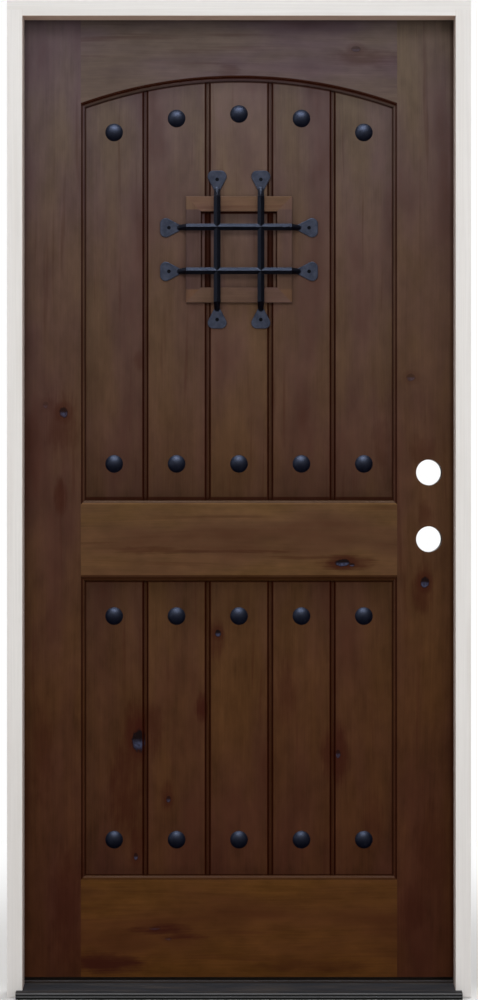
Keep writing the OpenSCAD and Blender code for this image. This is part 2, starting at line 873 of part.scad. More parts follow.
// Half space in front of the bars' middle plane, which the crossbars keep at each crossing
module front_half(side) {
    translate([0, bar_mid_y - side * bar_d, peek_cz])
        cube([trim_out, 2 * bar_d, trim_out], center = true);
}

module grille_crossbar(offset) {
    color(colour_iron) difference() {
        crossbar_at(offset) bar();
        crossbar_at(offset) bar_nail_holes(hole_slack);
        intersection() {
            for (x = [-1, 1] * bar_spread) upright_at(x) straight_bar();
            front_half(-1);
        }
    }
}

module grille_upright(offset) {
    color(colour_iron) difference() {
        upright_at(offset) bar();
        upright_at(offset) bar_nail_holes(hole_slack);
        intersection() {
            for (z = [-1, 1] * bar_spread) crossbar_at(z) straight_bar();
            front_half(1);
        }
    }
}

module grille_nail_set(slack = 0) {
    for (offset = [-1, 1] * bar_spread, side = [-1, 1]) {
        crossbar_at(offset) translate([side * nail_s, 0, foot_t]) mirror([0, 0, 1]) nail(slack);
        upright_at(offset) translate([side * nail_s, 0, foot_t]) mirror([0, 0, 1]) nail(slack);
    }
}

module grille_nails() {
    color(colour_iron) grille_nail_set();
}

// Small door, cut from the same planks, so that its channels carry on the planks' own
module wicket_panel() {
    color(colour_plank) translate([0, y_mid, peek_cz - wicket_w / 2])
        linear_extrude(height = wicket_w) difference() {
            square([wicket_w, panel_t], center = true);
            for (side = [-1, 1]) translate([side * plank_pitch / 2, 0]) {
                joint_cut();
                mirror([1, 0]) joint_cut();
            }
        }
}

// Leaf of a small surface hinge; side -1 lies on the planks and side 1 on the small door
module small_leaf(side, places) {
    pitch = wicket_hinge_h / 3;
    for (up = [-1, 1])
        translate([wicket_pin_x, wicket_pin_y, peek_cz + up * wicket_hinge_z]) difference() {
            union() {
                translate([side > 0 ? 0 : -wicket_leaf_w, -wicket_knuckle_r, -wicket_hinge_h / 2])
                    cube([wicket_leaf_w, wicket_leaf_t, wicket_hinge_h]);
                for (i = places)
                    translate([0, 0, -wicket_hinge_h / 2 + i * pitch + clear / 2])
                        cylinder(h = pitch - clear, r = wicket_knuckle_r);
            }
            for (i = [0 : 2])
                if (len(search(i, places)) == 0)
                    translate([0, 0, -wicket_hinge_h / 2 + i * pitch])
                        cylinder(h = pitch, r = wicket_knuckle_r + clear);
            translate([0, 0, -wicket_hinge_h]) cylinder(h = 2 * wicket_hinge_h,
                                                        r = wicket_pin_r + running);
        }
}

module wicket_fixed_hinges() {
    color(colour_iron) small_leaf(-1, [0, 2]);
}

module wicket_moving_hinges() {
    color(colour_iron) small_leaf(1, [1]);
}

module wicket_hinge_pins() {
    color(colour_iron) for (up = [-1, 1])
        translate([wicket_pin_x, wicket_pin_y, peek_cz + up * wicket_hinge_z]) {
            translate([0, 0, -wicket_hinge_h / 2]) cylinder(h = wicket_hinge_h, r = wicket_pin_r);
            translate([0, 0, wicket_hinge_h / 2]) cylinder(h = 1.5, r = wicket_knuckle_r);
        }
}

// Block with a round top that the rod runs through
module rod_guide(x, width) {
    difference() {
        union() {
            translate([x, plank_in, peek_cz - rod_r - guide_wall])
                cube([width, rod_y_axis - plank_in, 2 * (rod_r + guide_wall)]);
            bar_x(x, x + width, rod_y_axis, peek_cz, rod_r + guide_wall);
        }
        bar_x(x - over, x + width + over, rod_y_axis, peek_cz, rod_r + running);
    }
}

module bolt_case() {
    color(colour_iron) {
        translate([guide_in_x, plank_in, peek_cz - bolt_plate_h / 2])
            cube([guide_out_x - guide_in_x, bolt_plate_t, bolt_plate_h]);
        rod_guide(guide_in_x, guide_w);
        rod_guide(guide_out_x - guide_w, guide_w);
    }
}

module bolt_keeper() {
    color(colour_iron) {
        rod_guide(keeper_x, keeper_w);
        half = rod_r + guide_wall + keeper_foot;
        translate([keeper_x, plank_in, peek_cz - half])
            cube([keeper_w, bolt_plate_t, 2 * half]);
    }
}

// Rod with a round finger knob between its guides
module bolt_rod() {
    knob_x = guide_in_x + guide_w + knob_r + clear;
    color(colour_iron) {
        bar_x(rod_x0, rod_x1, rod_y_axis, peek_cz, rod_r);
        bar_y(knob_x, rod_y_axis, rod_y_axis + knob_out, peek_cz, knob_r / 2);
        translate([knob_x, rod_y_axis + knob_out, peek_cz]) sphere(r = knob_r);
    }
}

// Outline of the room that the sill takes, with some clearance above it
module sill_room(c) {
    polygon([
        [-jamb_d, -over], [-jamb_d, nose_h + c], [nose_y, nose_h + c],
        [channel_y0, deck_h + c], [jamb_d, deck_h + c], [jamb_d, -over]
    ]);
}

// Section of the left jamb seen from above: leg, stop and the seal's slot
module jamb_section() {
    difference() {
        union() {
            translate([-frame_w / 2, -jamb_d / 2]) square([leg_t, jamb_d]);
            translate([-frame_in_w / 2 - over, -jamb_d / 2]) square([stop_t + over, stop_d]);
        }
        translate([-frame_in_w / 2, stop_y - kerf_d]) square([kerf_w, kerf_d + over]);
    }
}

module side_jamb() {
    difference() {
        linear_extrude(height = head_z) jamb_section();
        along_x(-frame_in_w / 2, 0) sill_room(clear);
        frame_screw_set(hole_slack);
    }
}

module hinge_jamb() {
    color(colour_primer) difference() {
        side_jamb();
        for (z = hinge_zs) {
            translate([-frame_in_w / 2 - hinge_leaf_t, 0, z])
                hinge_plate(hinge_leaf_t + over, leaf_slack);
            frame_hinge_screws(z, hole_slack);
        }
    }
}

module latch_jamb() {
    color(colour_primer) difference() {
        mirror([1, 0, 0]) side_jamb();
        for (z = bore_zs) {
            bar_x(frame_in_w / 2 - over, frame_w / 2 + over, y_mid, z, strike_bore_r);
            translate([frame_in_w / 2 - over, y_mid - strike_w / 2, z - strike_h / 2])
                cube([strike_t + over, strike_w, strike_h]);
        }
    }
}

module head_jamb() {
    inner = frame_in_w / 2 - stop_t;
    color(colour_primer) difference() {
        union() {
            translate([-frame_w / 2, -jamb_d / 2, head_z]) cube([frame_w, jamb_d, leg_t]);
            translate([-inner, -jamb_d / 2, head_z - stop_t])
                cube([2 * inner, stop_d, stop_t + over]);
        }
        translate([-inner - over, stop_y - kerf_d, head_z - kerf_w])
            cube([2 * (inner + over), kerf_d + over, kerf_w]);
        frame_screw_set(hole_slack);
    }
}

// Screws down through the head into the side jambs, and through the legs into the sill
module frame_screw_set(slack = 0) {
    for (side = [-1, 1]) {
        for (y = frame_screw_ys)
            translate([side * (frame_w - leg_t) / 2, y, frame_h]) mirror([0, 0, 1])
                screw(frame_screw_l, slack);
        for (y = sill_screw_ys)
            translate([side * frame_w / 2, y, sill_screw_z]) rotate([0, -side * 90, 0])
                screw(frame_screw_l, slack);
    }
}

module frame_screws() {
    color(colour_hinge) frame_screw_set();
}

// Section of a seal: U away from the leg, V from the stop to the leaf, with its tail in the slot
module seal_section() {
    bulb = seal_space - clear;
    r = bulb / 2;
    translate([clear, over - kerf_d]) square([kerf_w - 2 * clear, kerf_d]);
    translate([clear, 0]) square([seal_w - r, bulb]);
    translate([clear + seal_w - r, r]) circle(r = r);
}

module side_seal() {
    low = deck_h + 2 * clear;
    color(colour_seal) translate([-frame_in_w / 2, stop_y, low])
        linear_extrude(height = head_z - low - clear) seal_section();
}

module hinge_side_seal() { side_seal(); }
module latch_side_seal() { mirror([1, 0, 0]) side_seal(); }

module head_seal() {
    inner = frame_in_w / 2 - max(seal_w + clear, stop_t) - clear;
    color(colour_seal) along_x(-inner, inner)
        translate([stop_y, head_z]) mirror([0, 1]) mirror([1, -1]) seal_section();
}

module corner_pads() {
    color(colour_seal) for (side = [0, 1]) mirror([side, 0, 0])
        translate([-frame_in_w / 2, y_out + pad_inset, riser_top + clear])
            cube([pad_t, door_t - 2 * pad_inset, pad_h]);
}

// Section of the sill's metal deck: nose, slope, channel and inside lip
module deck_outline(t) {
    polygon([
        [nose_y + t, 0], [nose_y + t, nose_h - t], [channel_y0 - t, deck_h - t],
        [channel_y0 - t, channel_z - t], [channel_y1 + t, channel_z - t],
        [channel_y1 + t, deck_h - t], [y_in - t, deck_h - t], [y_in - t, 0]
    ]);
}

module sill_length() {
    along_x(-frame_in_w / 2 + sill_slack, frame_in_w / 2 - sill_slack) children();
}

module sill_base() {
    color(colour_sill) difference() {
        sill_length() deck_outline(deck_t);
        frame_screw_set(hole_slack);
        riser_screw_set(hole_slack);
    }
}

module sill_deck() {
    color(colour_bronze) difference() {
        union() {
            sill_length() difference() {
                deck_outline(0);
                deck_outline(deck_t);
            }
            for (z = [0.42, 0.9] * nose_h)
                sill_length() translate([nose_y - rib, z - rib_w / 2])
                    square([rib + deck_t / 2, rib_w]);
            for (i = [0 : 2])
                sill_length() translate([nose_y, nose_h]) rotate(deck_slope)
                    translate([(i + 0.6) * rib_pitch, -deck_t / 2])
                        square([rib_w, rib + deck_t / 2]);
        }
        riser_screw_set(hole_slack);
    }
}

// Wooden riser in its channel, with eased upper arrises
module sill_riser() {
    low = channel_z + riser_lift;
    half = riser_w / 2;
    color(colour_riser) difference() {
        along_x(-frame_in_w / 2 + clear, frame_in_w / 2 - clear)
            translate([riser_y, 0])
                polygon([
                    [-half, low], [-half, riser_top - riser_ease],
                    [-half + riser_ease, riser_top], [half - riser_ease, riser_top],
                    [half, riser_top - riser_ease], [half, low]
                ]);
        riser_screw_set(hole_slack);
    }
}

module riser_screw_set(slack = 0) {
    for (x = riser_xs)
        translate([x, riser_y, riser_top]) mirror([0, 0, 1]) screw(riser_top - 2, slack);
}

module riser_screws() {
    color(colour_bronze) riser_screw_set();
}

hinge_jamb();
latch_jamb();
head_jamb();
hinge_side_seal();
latch_side_seal();
head_seal();
corner_pads();
sill_base();
sill_deck();
sill_riser();
riser_screws();
frame_screws();
frame_leaf(hinge_zs[0]);  // top_hinge_frame_leaf
frame_leaf(hinge_zs[1]);  // middle_hinge_frame_leaf
frame_leaf(hinge_zs[2]);  // bottom_hinge_frame_leaf
hinge_pin(hinge_zs[0]);  // top_hinge_pin
hinge_pin(hinge_zs[1]);  // middle_hinge_pin
hinge_pin(hinge_zs[2]);  // bottom_hinge_pin
hinge_frame_screws();
hinge_stile();
latch_stile();
top_rail();
lock_rail();
bottom_rail();
rail_dowels();
upper_plank(-2);  // upper_plank_1
upper_plank(-1);  // upper_plank_2
upper_plank_3_top();
upper_plank_3_bottom();
upper_plank(1);  // upper_plank_4
upper_plank(2);  // upper_plank_5
lower_plank(-2);  // lower_plank_1
lower_plank(-1);  // lower_plank_2
lower_plank(0);  // lower_plank_3
lower_plank(1);  // lower_plank_4
lower_plank(2);  // lower_plank_5
door_sweep();
door_leaf(hinge_zs[0]);  // top_hinge_door_leaf
door_leaf(hinge_zs[1]);  // middle_hinge_door_leaf
door_leaf(hinge_zs[2]);  // bottom_hinge_door_leaf
hinge_door_screws();
clavos();
trim_top();
trim_bottom();
trim_left();
trim_right();
grille_upright(-bar_spread);  // grille_upright_left
grille_upright(bar_spread);  // grille_upright_right
grille_crossbar(bar_spread);  // grille_crossbar_top
grille_crossbar(-bar_spread);  // grille_crossbar_bottom
grille_nails();
wicket_fixed_hinges();
wicket_hinge_pins();
bolt_keeper();
wicket_panel();
wicket_moving_hinges();
bolt_case();
bolt_rod();
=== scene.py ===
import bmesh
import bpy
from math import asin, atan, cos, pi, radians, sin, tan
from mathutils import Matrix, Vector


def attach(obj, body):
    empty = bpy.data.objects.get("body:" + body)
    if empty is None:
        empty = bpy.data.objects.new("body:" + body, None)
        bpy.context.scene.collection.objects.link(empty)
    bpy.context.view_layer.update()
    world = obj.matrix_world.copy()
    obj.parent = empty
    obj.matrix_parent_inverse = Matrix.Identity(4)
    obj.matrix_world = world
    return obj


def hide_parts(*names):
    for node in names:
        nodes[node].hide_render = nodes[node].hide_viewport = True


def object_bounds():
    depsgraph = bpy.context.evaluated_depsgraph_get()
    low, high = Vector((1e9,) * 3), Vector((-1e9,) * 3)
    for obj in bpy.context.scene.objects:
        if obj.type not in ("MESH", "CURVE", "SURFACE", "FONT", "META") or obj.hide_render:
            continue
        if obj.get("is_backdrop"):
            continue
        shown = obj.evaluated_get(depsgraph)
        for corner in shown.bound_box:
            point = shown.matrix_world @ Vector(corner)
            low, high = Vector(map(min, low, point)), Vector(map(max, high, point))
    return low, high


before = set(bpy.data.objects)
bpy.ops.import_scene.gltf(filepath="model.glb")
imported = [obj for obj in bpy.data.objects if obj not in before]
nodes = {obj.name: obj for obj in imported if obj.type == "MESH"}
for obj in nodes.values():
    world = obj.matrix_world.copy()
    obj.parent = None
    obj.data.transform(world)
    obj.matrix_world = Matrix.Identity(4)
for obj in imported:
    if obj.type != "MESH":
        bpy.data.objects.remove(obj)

# %% [markdown]
# # A prehung front door
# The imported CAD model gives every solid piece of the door, its frame and its sill, in metres.
# This file gives those pieces the finishes that they have in the photograph, turns one set of
# small fittings more finely than the CAD model holds them, and sets up a camera and soft studio
# light. The first thing to keep is the CAD model's size, because nothing may grow past it.

cad_low, cad_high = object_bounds()
print("CAD box:", [round(v, 3) for v in cad_low], [round(v, 3) for v in cad_high])
print("CAD pieces:", len(nodes))

# %% [markdown]
# ## The camera
# The photograph was taken straight on, from about seven metres, at half the door's height. A long
# lens from that far keeps the frame's sides parallel. The picture is 478 by 1000, so the height
# decides the framing: the sensor is fitted vertically, and the angle takes in the whole unit, from
# the front of the sill's nose at the foot to the front of the jambs at the head.

# %% Camera
PICTURE = (478, 1000)
CAMERA_PLACE = Vector((0.0, -6.69, 1.03))
JAMB_FRONT_Y = -0.058
MARGIN = 1.0006
up_angle = atan((cad_high.z - CAMERA_PLACE.z) / (JAMB_FRONT_Y - CAMERA_PLACE.y))
down_angle = atan(CAMERA_PLACE.z / (cad_low.y - CAMERA_PLACE.y))
tilt = (up_angle - down_angle) / 2
half_view = (up_angle + down_angle) / 2
camera_data = bpy.data.cameras.new("front_view")
camera_data.sensor_fit = "VERTICAL"
camera_data.sensor_height = 36.0
camera_data.lens = camera_data.sensor_height / 2 / tan(half_view * MARGIN)
camera = bpy.data.objects.new("front_view", camera_data)
camera.location = CAMERA_PLACE
camera.rotation_euler = (pi / 2 + tilt, 0, 0)
bpy.context.scene.collection.objects.link(camera)
bpy.context.scene.camera = camera
print("Lens:", round(camera_data.lens, 1), "mm; picture", PICTURE)

# %% [markdown]
# ## The floor
# The unit stands on a plain pale floor. A single round face is enough, as it has no shape of its
# own: it lies a millimetre under the sill, so that the two never share a plane and flicker.

# %% Floor
FLOOR_RADIUS, FLOOR_DROP = 9.0, 0.001


def add_object(name, mesh):
    obj = bpy.data.objects.new(name, mesh)
    bpy.context.scene.collection.objects.link(obj)
    return obj


def mesh_of(name, bm):
    mesh = bpy.data.meshes.new(name)
    bm.to_mesh(mesh)
    bm.free()
    return mesh


disc = bmesh.new()
bmesh.ops.create_circle(disc, cap_ends=True, segments=96, radius=FLOOR_RADIUS)
bmesh.ops.translate(disc, verts=disc.verts, vec=(0, 0, -FLOOR_DROP))
floor = add_object("floor", mesh_of("floor", disc))
floor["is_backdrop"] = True
print("Floor:", FLOOR_RADIUS, "m in radius")

# %% [markdown]
# ## The world
# A studio's white walls fill the shadows. Seen directly or in a reflection they are white, but the
# light that they throw on the door is weaker than that. Light Path tells the two kinds of ray
# apart, so one background serves both: its strength is 1 where it is seen, and less elsewhere.

# %% World
WORLD_FILL = 0.42
world = bpy.data.worlds.new("studio")
bpy.context.scene.world = world
world.use_nodes = True
world_nodes, world_links = world.node_tree.nodes, world.node_tree.links
background = world_nodes["Background"]
background.inputs["Color"].default_value = (1, 1, 1, 1)
rays = world_nodes.new("ShaderNodeLightPath")


def world_math(operation, a, b):
    node = world_nodes.new("ShaderNodeMath")
    node.operation = operation
    for socket, value in zip(node.inputs, (a, b)):
        if isinstance(value, bpy.types.NodeSocket):
            world_links.new(value, socket)
        else:
            socket.default_value = value
    return node.outputs[0]


seen = world_math("MAXIMUM", rays.outputs["Is Camera Ray"], rays.outputs["Is Glossy Ray"])
seen = world_math("MAXIMUM", seen, rays.outputs["Is Transmission Ray"])
fill = world_math("ADD", world_math("MULTIPLY", seen, 1 - WORLD_FILL), WORLD_FILL)
world_links.new(fill, background.inputs["Strength"])
print("World: strength 1 where seen,", WORLD_FILL, "on surfaces")

# %% [markdown]
# ## The lamps
# Two large soft lamps stand in front: a main one high on the left, which draws the soft shadow
# under the head, and a weak one on the right. A third stands behind, for the inside face. Two
# more are seen only in reflections, as a photographer's white cards are: they stand close to the
# door, above it and on its left, and give the domes and bars of iron their bluish highlights.

# %% Lamps
WHITE, WARM, COOL, SKY = (1, 1, 1), (1.0, 0.985, 0.97), (0.96, 0.98, 1.0), (0.68, 0.79, 1.0)
# Each lamp: its place, the point it aims at, its size, watts, colour, and if only gloss sees it
LAMPS = {
    "main_lamp": ((-0.9, -6.6, 4.6), (0, 0, 0.9), (3.4, 2.4), 240, WARM, False),
    "side_lamp": ((3.2, -5.8, 1.6), (0, 0, 0.9), (2.6, 2.6), 60, COOL, False),
    "back_lamp": ((1.6, 6.0, 4.0), (0, 0, 1.0), (2.8, 2.2), 230, WHITE, False),
    "sheen_above": ((-0.2, -1.1, 3.8), (0, 0, 1.2), (2.6, 1.3), 1000, SKY, True),
    "sheen_left": ((-3.2, -1.2, 1.9), (0, 0, 1.3), (0.8, 2.0), 70, SKY, True),
}
for name, (place, aim, size, watts, colour, gloss_only) in LAMPS.items():
    lamp_data = bpy.data.lights.new(name, "AREA")
    lamp_data.shape = "RECTANGLE"
    lamp_data.size, lamp_data.size_y = size
    lamp_data.energy = watts
    lamp_data.color = colour
    lamp = add_object(name, lamp_data)
    lamp.location = place
    lamp.rotation_euler = (Vector(aim) - Vector(place)).to_track_quat("-Z", "Y").to_euler()
    lamp.visible_camera = False
    lamp.visible_diffuse = not gloss_only
bpy.context.scene.view_settings.view_transform = "Standard"
print("Lamps:", len(LAMPS))

# %% [markdown]
# ## Writing materials as sums
# A finish is a network of nodes. Wiring each one by hand hides the idea, so one small class wraps
# a node's output and turns Python's + - * / into Math nodes. Numbers alone stay in Python, and
# only what changes over the surface becomes a node.

# %% Wires
class Wire:
    def __init__(self, finish, socket):
        self.finish, self.socket = finish, socket

    def math(self, operation, a, b=0.0):
        return self.finish.node("ShaderNodeMath", {"operation": operation}, {0: a, 1: b})

    def __add__(self, other): return self.math("ADD", self, other)
    def __radd__(self, other): return self.math("ADD", other, self)
    def __sub__(self, other): return self.math("SUBTRACT", self, other)
    def __rsub__(self, other): return self.math("SUBTRACT", other, self)
    def __mul__(self, other): return self.math("MULTIPLY", self, other)
    def __rmul__(self, other): return self.math("MULTIPLY", other, self)
    def __truediv__(self, other): return self.math("DIVIDE", self, other)
    def __rtruediv__(self, other): return self.math("DIVIDE", other, self)
    def __pow__(self, other): return self.math("POWER", self, other)
    def __abs__(self): return self.math("ABSOLUTE", self)

    def most(self, other): return self.math("MAXIMUM", self, other)
    def least(self, other): return self.math("MINIMUM", self, other)


print("Wire is ready")

# %% [markdown]
# ## The material round the wires
# A second class holds the material. Its node method adds any node, sets its settings first and
# then its sockets. The other methods are names for the few nodes that finishes are made of: noise,
# a ramp of colours, a smooth step from one level to another, a mix, and a bump. They all start
# from Object coordinates, which are metres in the model, so a pattern keeps its real size.

# %% Finishes
class Finish:
    def __init__(self, name):
        self.material = bpy.data.materials.new(name)
        self.material.use_nodes = True
        self.tree = self.material.node_tree
        self.shader = self.tree.nodes["Principled BSDF"]
        self.place = self.node("ShaderNodeTexCoord", output="Object")
        parts = self.node("ShaderNodeSeparateXYZ", values={0: self.place}).socket.node
        self.x, self.y, self.z = [Wire(self, socket) for socket in parts.outputs]

    def node(self, kind, settings=None, values=None, output=0):
        made = self.tree.nodes.new(kind)
        for key, value in (settings or {}).items():
            if key == "stops":
                while len(made.color_ramp.elements) < len(value):
                    made.color_ramp.elements.new(1.0)
                for element, (position, colour) in zip(made.color_ramp.elements, value):
                    element.position, element.color = position, colour
            else:
                setattr(made, key, value)
        for key, value in (values or {}).items():
            self.connect(value, made.inputs[key])
        return Wire(self, made.outputs[output])

    def connect(self, value, socket):
        if isinstance(value, Wire):
            self.tree.links.new(value.socket, socket)
        else:
            socket.default_value = value

    def shade(self, **values):
        for key, value in values.items():
            self.connect(value, self.shader.inputs[key.replace("_", " ")])
        return self.material

    def vector(self, x, y, z):
        return self.node("ShaderNodeCombineXYZ", values={0: x, 1: y, 2: z})

    def noise(self, where, scale, detail, roughness):
        return self.node("ShaderNodeTexNoise", {}, {"Vector": where, "Scale": scale,
                         "Detail": detail, "Roughness": roughness}, "Fac")

    def drawn_out(self, along, scale_across, scale_along, detail, roughness):
        """Noise drawn out along x or z, as fibres, brush marks and ribs are."""
        scale_x, scale_z = (scale_along, scale_across) if along == "x" else \
            (scale_across, scale_along)
        where = self.vector(self.x * scale_x, self.y * scale_across, self.z * scale_z)
        return self.noise(where, 1.0, detail, roughness)

    def ramp(self, factor, stops):
        return self.node("ShaderNodeValToRGB", {"stops": stops}, {0: factor}, "Color")

    def level(self, factor, start, end, low=0.0, high=1.0):
        """Rises smoothly from low to high while factor goes from start to end."""
        return self.node("ShaderNodeMapRange", {"interpolation_type": "SMOOTHSTEP"},
                         {0: factor, 1: start, 2: end, 3: low, 4: high})

    def mix(self, factor, a, b, blend="MIX"):
        return self.node("ShaderNodeMix", {"data_type": "RGBA", "blend_type": blend},
                         {0: factor, 6: a, 7: b}, 2)

    def scaled(self, colour, share):
        """A colour made lighter or darker by a share."""
        return self.mix(1.0, colour, self.vector(share, share, share), "MULTIPLY")

    def bump(self, height, strength, distance):
        return self.node("ShaderNodeBump", {}, {"Strength": strength, "Distance": distance,
                         "Height": height}, "Normal")


print("Finish is ready")

# %% [markdown]
# ## Colours
# A colour picked from a screen is written as 0 to 255, on a curve that suits the eye. A shader
# works with amounts of light, so each colour goes through that curve backwards once, here, and
# every finish below can be written in the numbers that one reads off a picture.

# %% Tones and painting
def tone(red, green, blue):
    """A colour written as 0 to 255, turned into the linear values that a shader works in."""
    parts = [v / 255 for v in (red, green, blue)]
    return tuple([v / 12.92 if v <= 0.04045 else ((v + 0.055) / 1.055) ** 2.4
                  for v in parts] + [1.0])


def tint_of(red, green, blue):
    """Shares that a colour is multiplied by."""
    return (red, green, blue, 1.0)


def greys(*pairs):
    """Stops of a ramp that only holds shares from 0 to 1."""
    return [(position, (share, share, share, 1)) for position, share in pairs]


def paint(material, *names):
    """Gives the material slots of CAD pieces this finish."""
    for name in names:
        for slot in nodes[name].material_slots:
            slot.material = material


print("Half grey as light:", round(tone(128, 128, 128)[0], 3))

# %% [markdown]
# ## Knots
# A knot is the root of a branch. It is an ellipse on the face, almost black at its rim, and its
# middle has a painted bluish glint in its lower half, a painted highlight. The wood round it is
# redder, and the growth rings bend to pass it. All four come from one number: how far a point is
# from the middle, in the knot's own half widths. Two noises roughen that distance, so no edge is
# smooth.

# %% Knots
# Squares of the distance, in a knot's half widths, at which each part starts and is complete
RINGS_BEND, DARK_RIM, RED_HALO, GLINT_REACH = (16.0, 0.0), (1.15, 0.55), (6.0, 0.8), (0.85, 0.35)
# The painted glint shows only in the knot's lower half
GLINT_BELOW = (0.25, -0.35)


def knot_masks(board, knots):
    """How far the knots push the rings, darken the wood, redden it and show their painted glint.
    """
    push, dark, halo, glint = 0.0, 0.0, 0.0, 0.0
    for knot_x, knot_z, half_width, half_height, depth in knots:
        across, up = (board.x - knot_x) / half_width, (board.z - knot_z) / half_height
        away = across * across + up * up
        push = board.level(away, *RINGS_BEND, 0.0, 0.6) + push
        away = away + (board.cloud - 0.5) * 1.1 + (board.speck - 0.5) * 0.9
        dark = board.level(away, *DARK_RIM, 0.0, depth).most(dark)
        halo = board.level(away, *RED_HALO, 0.0, depth).most(halo)
        glint = (board.level(away, *GLINT_REACH) * board.level(up, *GLINT_BELOW)).most(glint)
    return push, dark, halo, glint


print("A knot's halo reaches", round(RED_HALO[0] ** 0.5, 1), "of its half widths")

# %% [markdown]
# ## The grain of a board
# Every board was sawn from its own log, so each gets its own piece of an endless pattern. Seen on
# the face, growth rings are long wavy bands, because the face cuts them at a shallow angle: the
# distance from a line that runs along the board behind its face, bent by slow noise, gives such
# bands. Noises stretched along the board give fibre, streaks and blotches where the stain took
# more. A picture of wood would end at each edge; a pattern in space runs on round the corner.

# %% Patterns of one board
SEED_ACROSS, SEED_ALONG = 0.37, 1.91
HEART_BEHIND = 0.04
# Each pattern: its scale across the board, into it and along it, its detail and its roughness
WANDER, CLOUD = (5.0, 5.0, 0.9, 2.0, 0.5), (66.0, 20.0, 28.0, 2.0, 0.5)
RINGS, FIBRE = (95.0, 0.0, 1.3, 3.0, 0.55), (400.0, 400.0, 12.0, 3.0, 0.65)
BLOTCH, HUE = (20.0, 9.0, 9.0, 3.0, 0.6), (8.0, 5.0, 2.4, 3.0, 0.55)
STREAK = (75.0, 40.0, 3.0, 2.0, 0.5)
SPECK_SCALE = 260.0


class Board(Finish):
    """One board's finish: along is the axis of its length."""

    def __init__(self, name, along, seed, knots):
        super().__init__(name)
        across, length = (self.x, self.z) if along == "z" else (self.z, self.x)
        across = across + SEED_ACROSS * seed
        self.length = length + SEED_ALONG * seed
        wander = self.pattern(across, WANDER) - 0.5
        self.cloud = self.pattern(across, CLOUD)
        self.speck = self.noise(self.place, SPECK_SCALE, 2.0, 0.5)
        push, self.dark, self.halo, self.glint = knot_masks(self, knots)
        drift = across + wander * 0.05
        side = drift - (SEED_ACROSS * seed + 0.02 * (seed % 5 - 2))
        radius = (side * side + HEART_BEHIND ** 2) ** 0.5 + wander * 0.06 + push * 0.02
        self.rings = self.pattern(radius, RINGS)
        self.fibre, self.blotch = self.pattern(drift, FIBRE), self.pattern(drift, BLOTCH)
        self.hue, self.streak = self.pattern(drift, HUE), self.pattern(drift, STREAK)

    def pattern(self, across, scales):
        per_across, per_depth, per_length, detail, roughness = scales
        return self.noise(self.vector(across * per_across, self.y * per_depth,
                                      self.length * per_length), 1.0, detail, roughness)


print("Patterns of a board: 8")

# %% [markdown]
# ## The stain, with light painted by height
# The leaf is knotty wood under a dark brown stain. The stain took unevenly: there are reddish
# streaks and patches, and olive and violet stretches. A slow ramp by height holds the stain's
# colour and paints light on it: it is greyer and lighter at the top, where the light grazes it.
# Other marks mix over it from the patterns. Single red patches are listed one by one, as knots
# are.

# %% Stain and painted light
UNIT_HIGH = 2.06
# The ramp by height: the stain's colour, painted greyer and lighter towards the top as light
HEIGHT_STOPS = [(0.00, tone(60, 32, 19)), (0.13, tone(60, 34, 22)), (0.30, tone(67, 42, 26)),
                (0.55, tone(71, 49, 37)), (0.75, tone(79, 61, 52)), (0.97, tone(88, 77, 75))]
OLIVE, VIOLET = tint_of(1.03, 1.05, 0.88), tint_of(0.98, 0.95, 1.07)
# The last of these colours is the bluish glint of a knot, a painted highlight
RED_STAIN, KNOT_RIM, KNOT_GLINT = tone(50, 20, 13), tone(15, 9, 12), tone(60, 64, 86)
# The figure is strong at the foot of the leaf and weaker above: two heights and two strengths
FIGURE_FADE = (0.3, 1.7, 1.05, 0.66)


def stained_and_lit(board, tint, stains):
    """The wood's colour and painted light without knots; a stain is (x, z, half width, half
    height, strength).
    """
    rings, fibre = board.rings - 0.5, board.fibre - 0.5
    blotch, cloud = board.blotch - 0.5, board.cloud - 0.5
    figure = rings * 0.38 + fibre * 0.50 + blotch * 0.92 + cloud * 0.42
    base = board.mix(1.0, board.ramp(board.z / UNIT_HIGH, HEIGHT_STOPS), tint, "MULTIPLY")
    hues = board.mix(board.level(board.hue, 0.36, 0.64), OLIVE, VIOLET)
    base = board.mix(1.0, base, hues, "MULTIPLY")
    base = board.scaled(base, figure * board.level(board.z, *FIGURE_FADE) + 1.0)
    red = board.level(board.streak, 0.58, 0.74, 0.0, 0.30)
    red = red.most(board.level(board.hue + fibre * 0.12 + cloud * 0.10, 0.52, 0.80, 0.0, 0.60))
    for stain_x, stain_z, half_width, half_height, strength in stains:
        across, up = (board.x - stain_x) / half_width, (board.z - stain_z) / half_height
        away = across * across + up * up + cloud * 1.4 + fibre * 2.0 + blotch * 2.0
        red = board.level(away, 1.9, -0.2, 0.0, strength).most(red)
    return board.mix(red, base, RED_STAIN)


def knotted(board, base):
    """The wood's colour with its knots' halos, rims and painted glint over it."""
    base = board.mix(board.halo * 0.6, base, RED_STAIN)
    grainy = board.glint * board.level(board.speck, 0.30, 0.65, 0.35, 1.0)
    return board.mix(board.dark, base, board.mix(grainy, KNOT_RIM, KNOT_GLINT))


print("Stops of the stain:", len(HEIGHT_STOPS))

# %% [markdown]
# ## Glaze and painted shade on the planks
# After the stain, a nearly black glaze is wiped over the leaf, and it stays where the cloth can't
# reach. On the planks that is along the V channels at their joints, and beside the moulding that
# borders each panel, where the same dark colour is partly painted shade of those hollows. A
# board's depth alone would tell these places, but it jumps at each edge, so the channels are
# painted by the distance from their joint, and the border by the distance from the moulding. The
# planks are also darker near the rails and the moulding. In the photograph that is partly a soft
# shadow, which the lamps here give too weakly, so it is painted on.

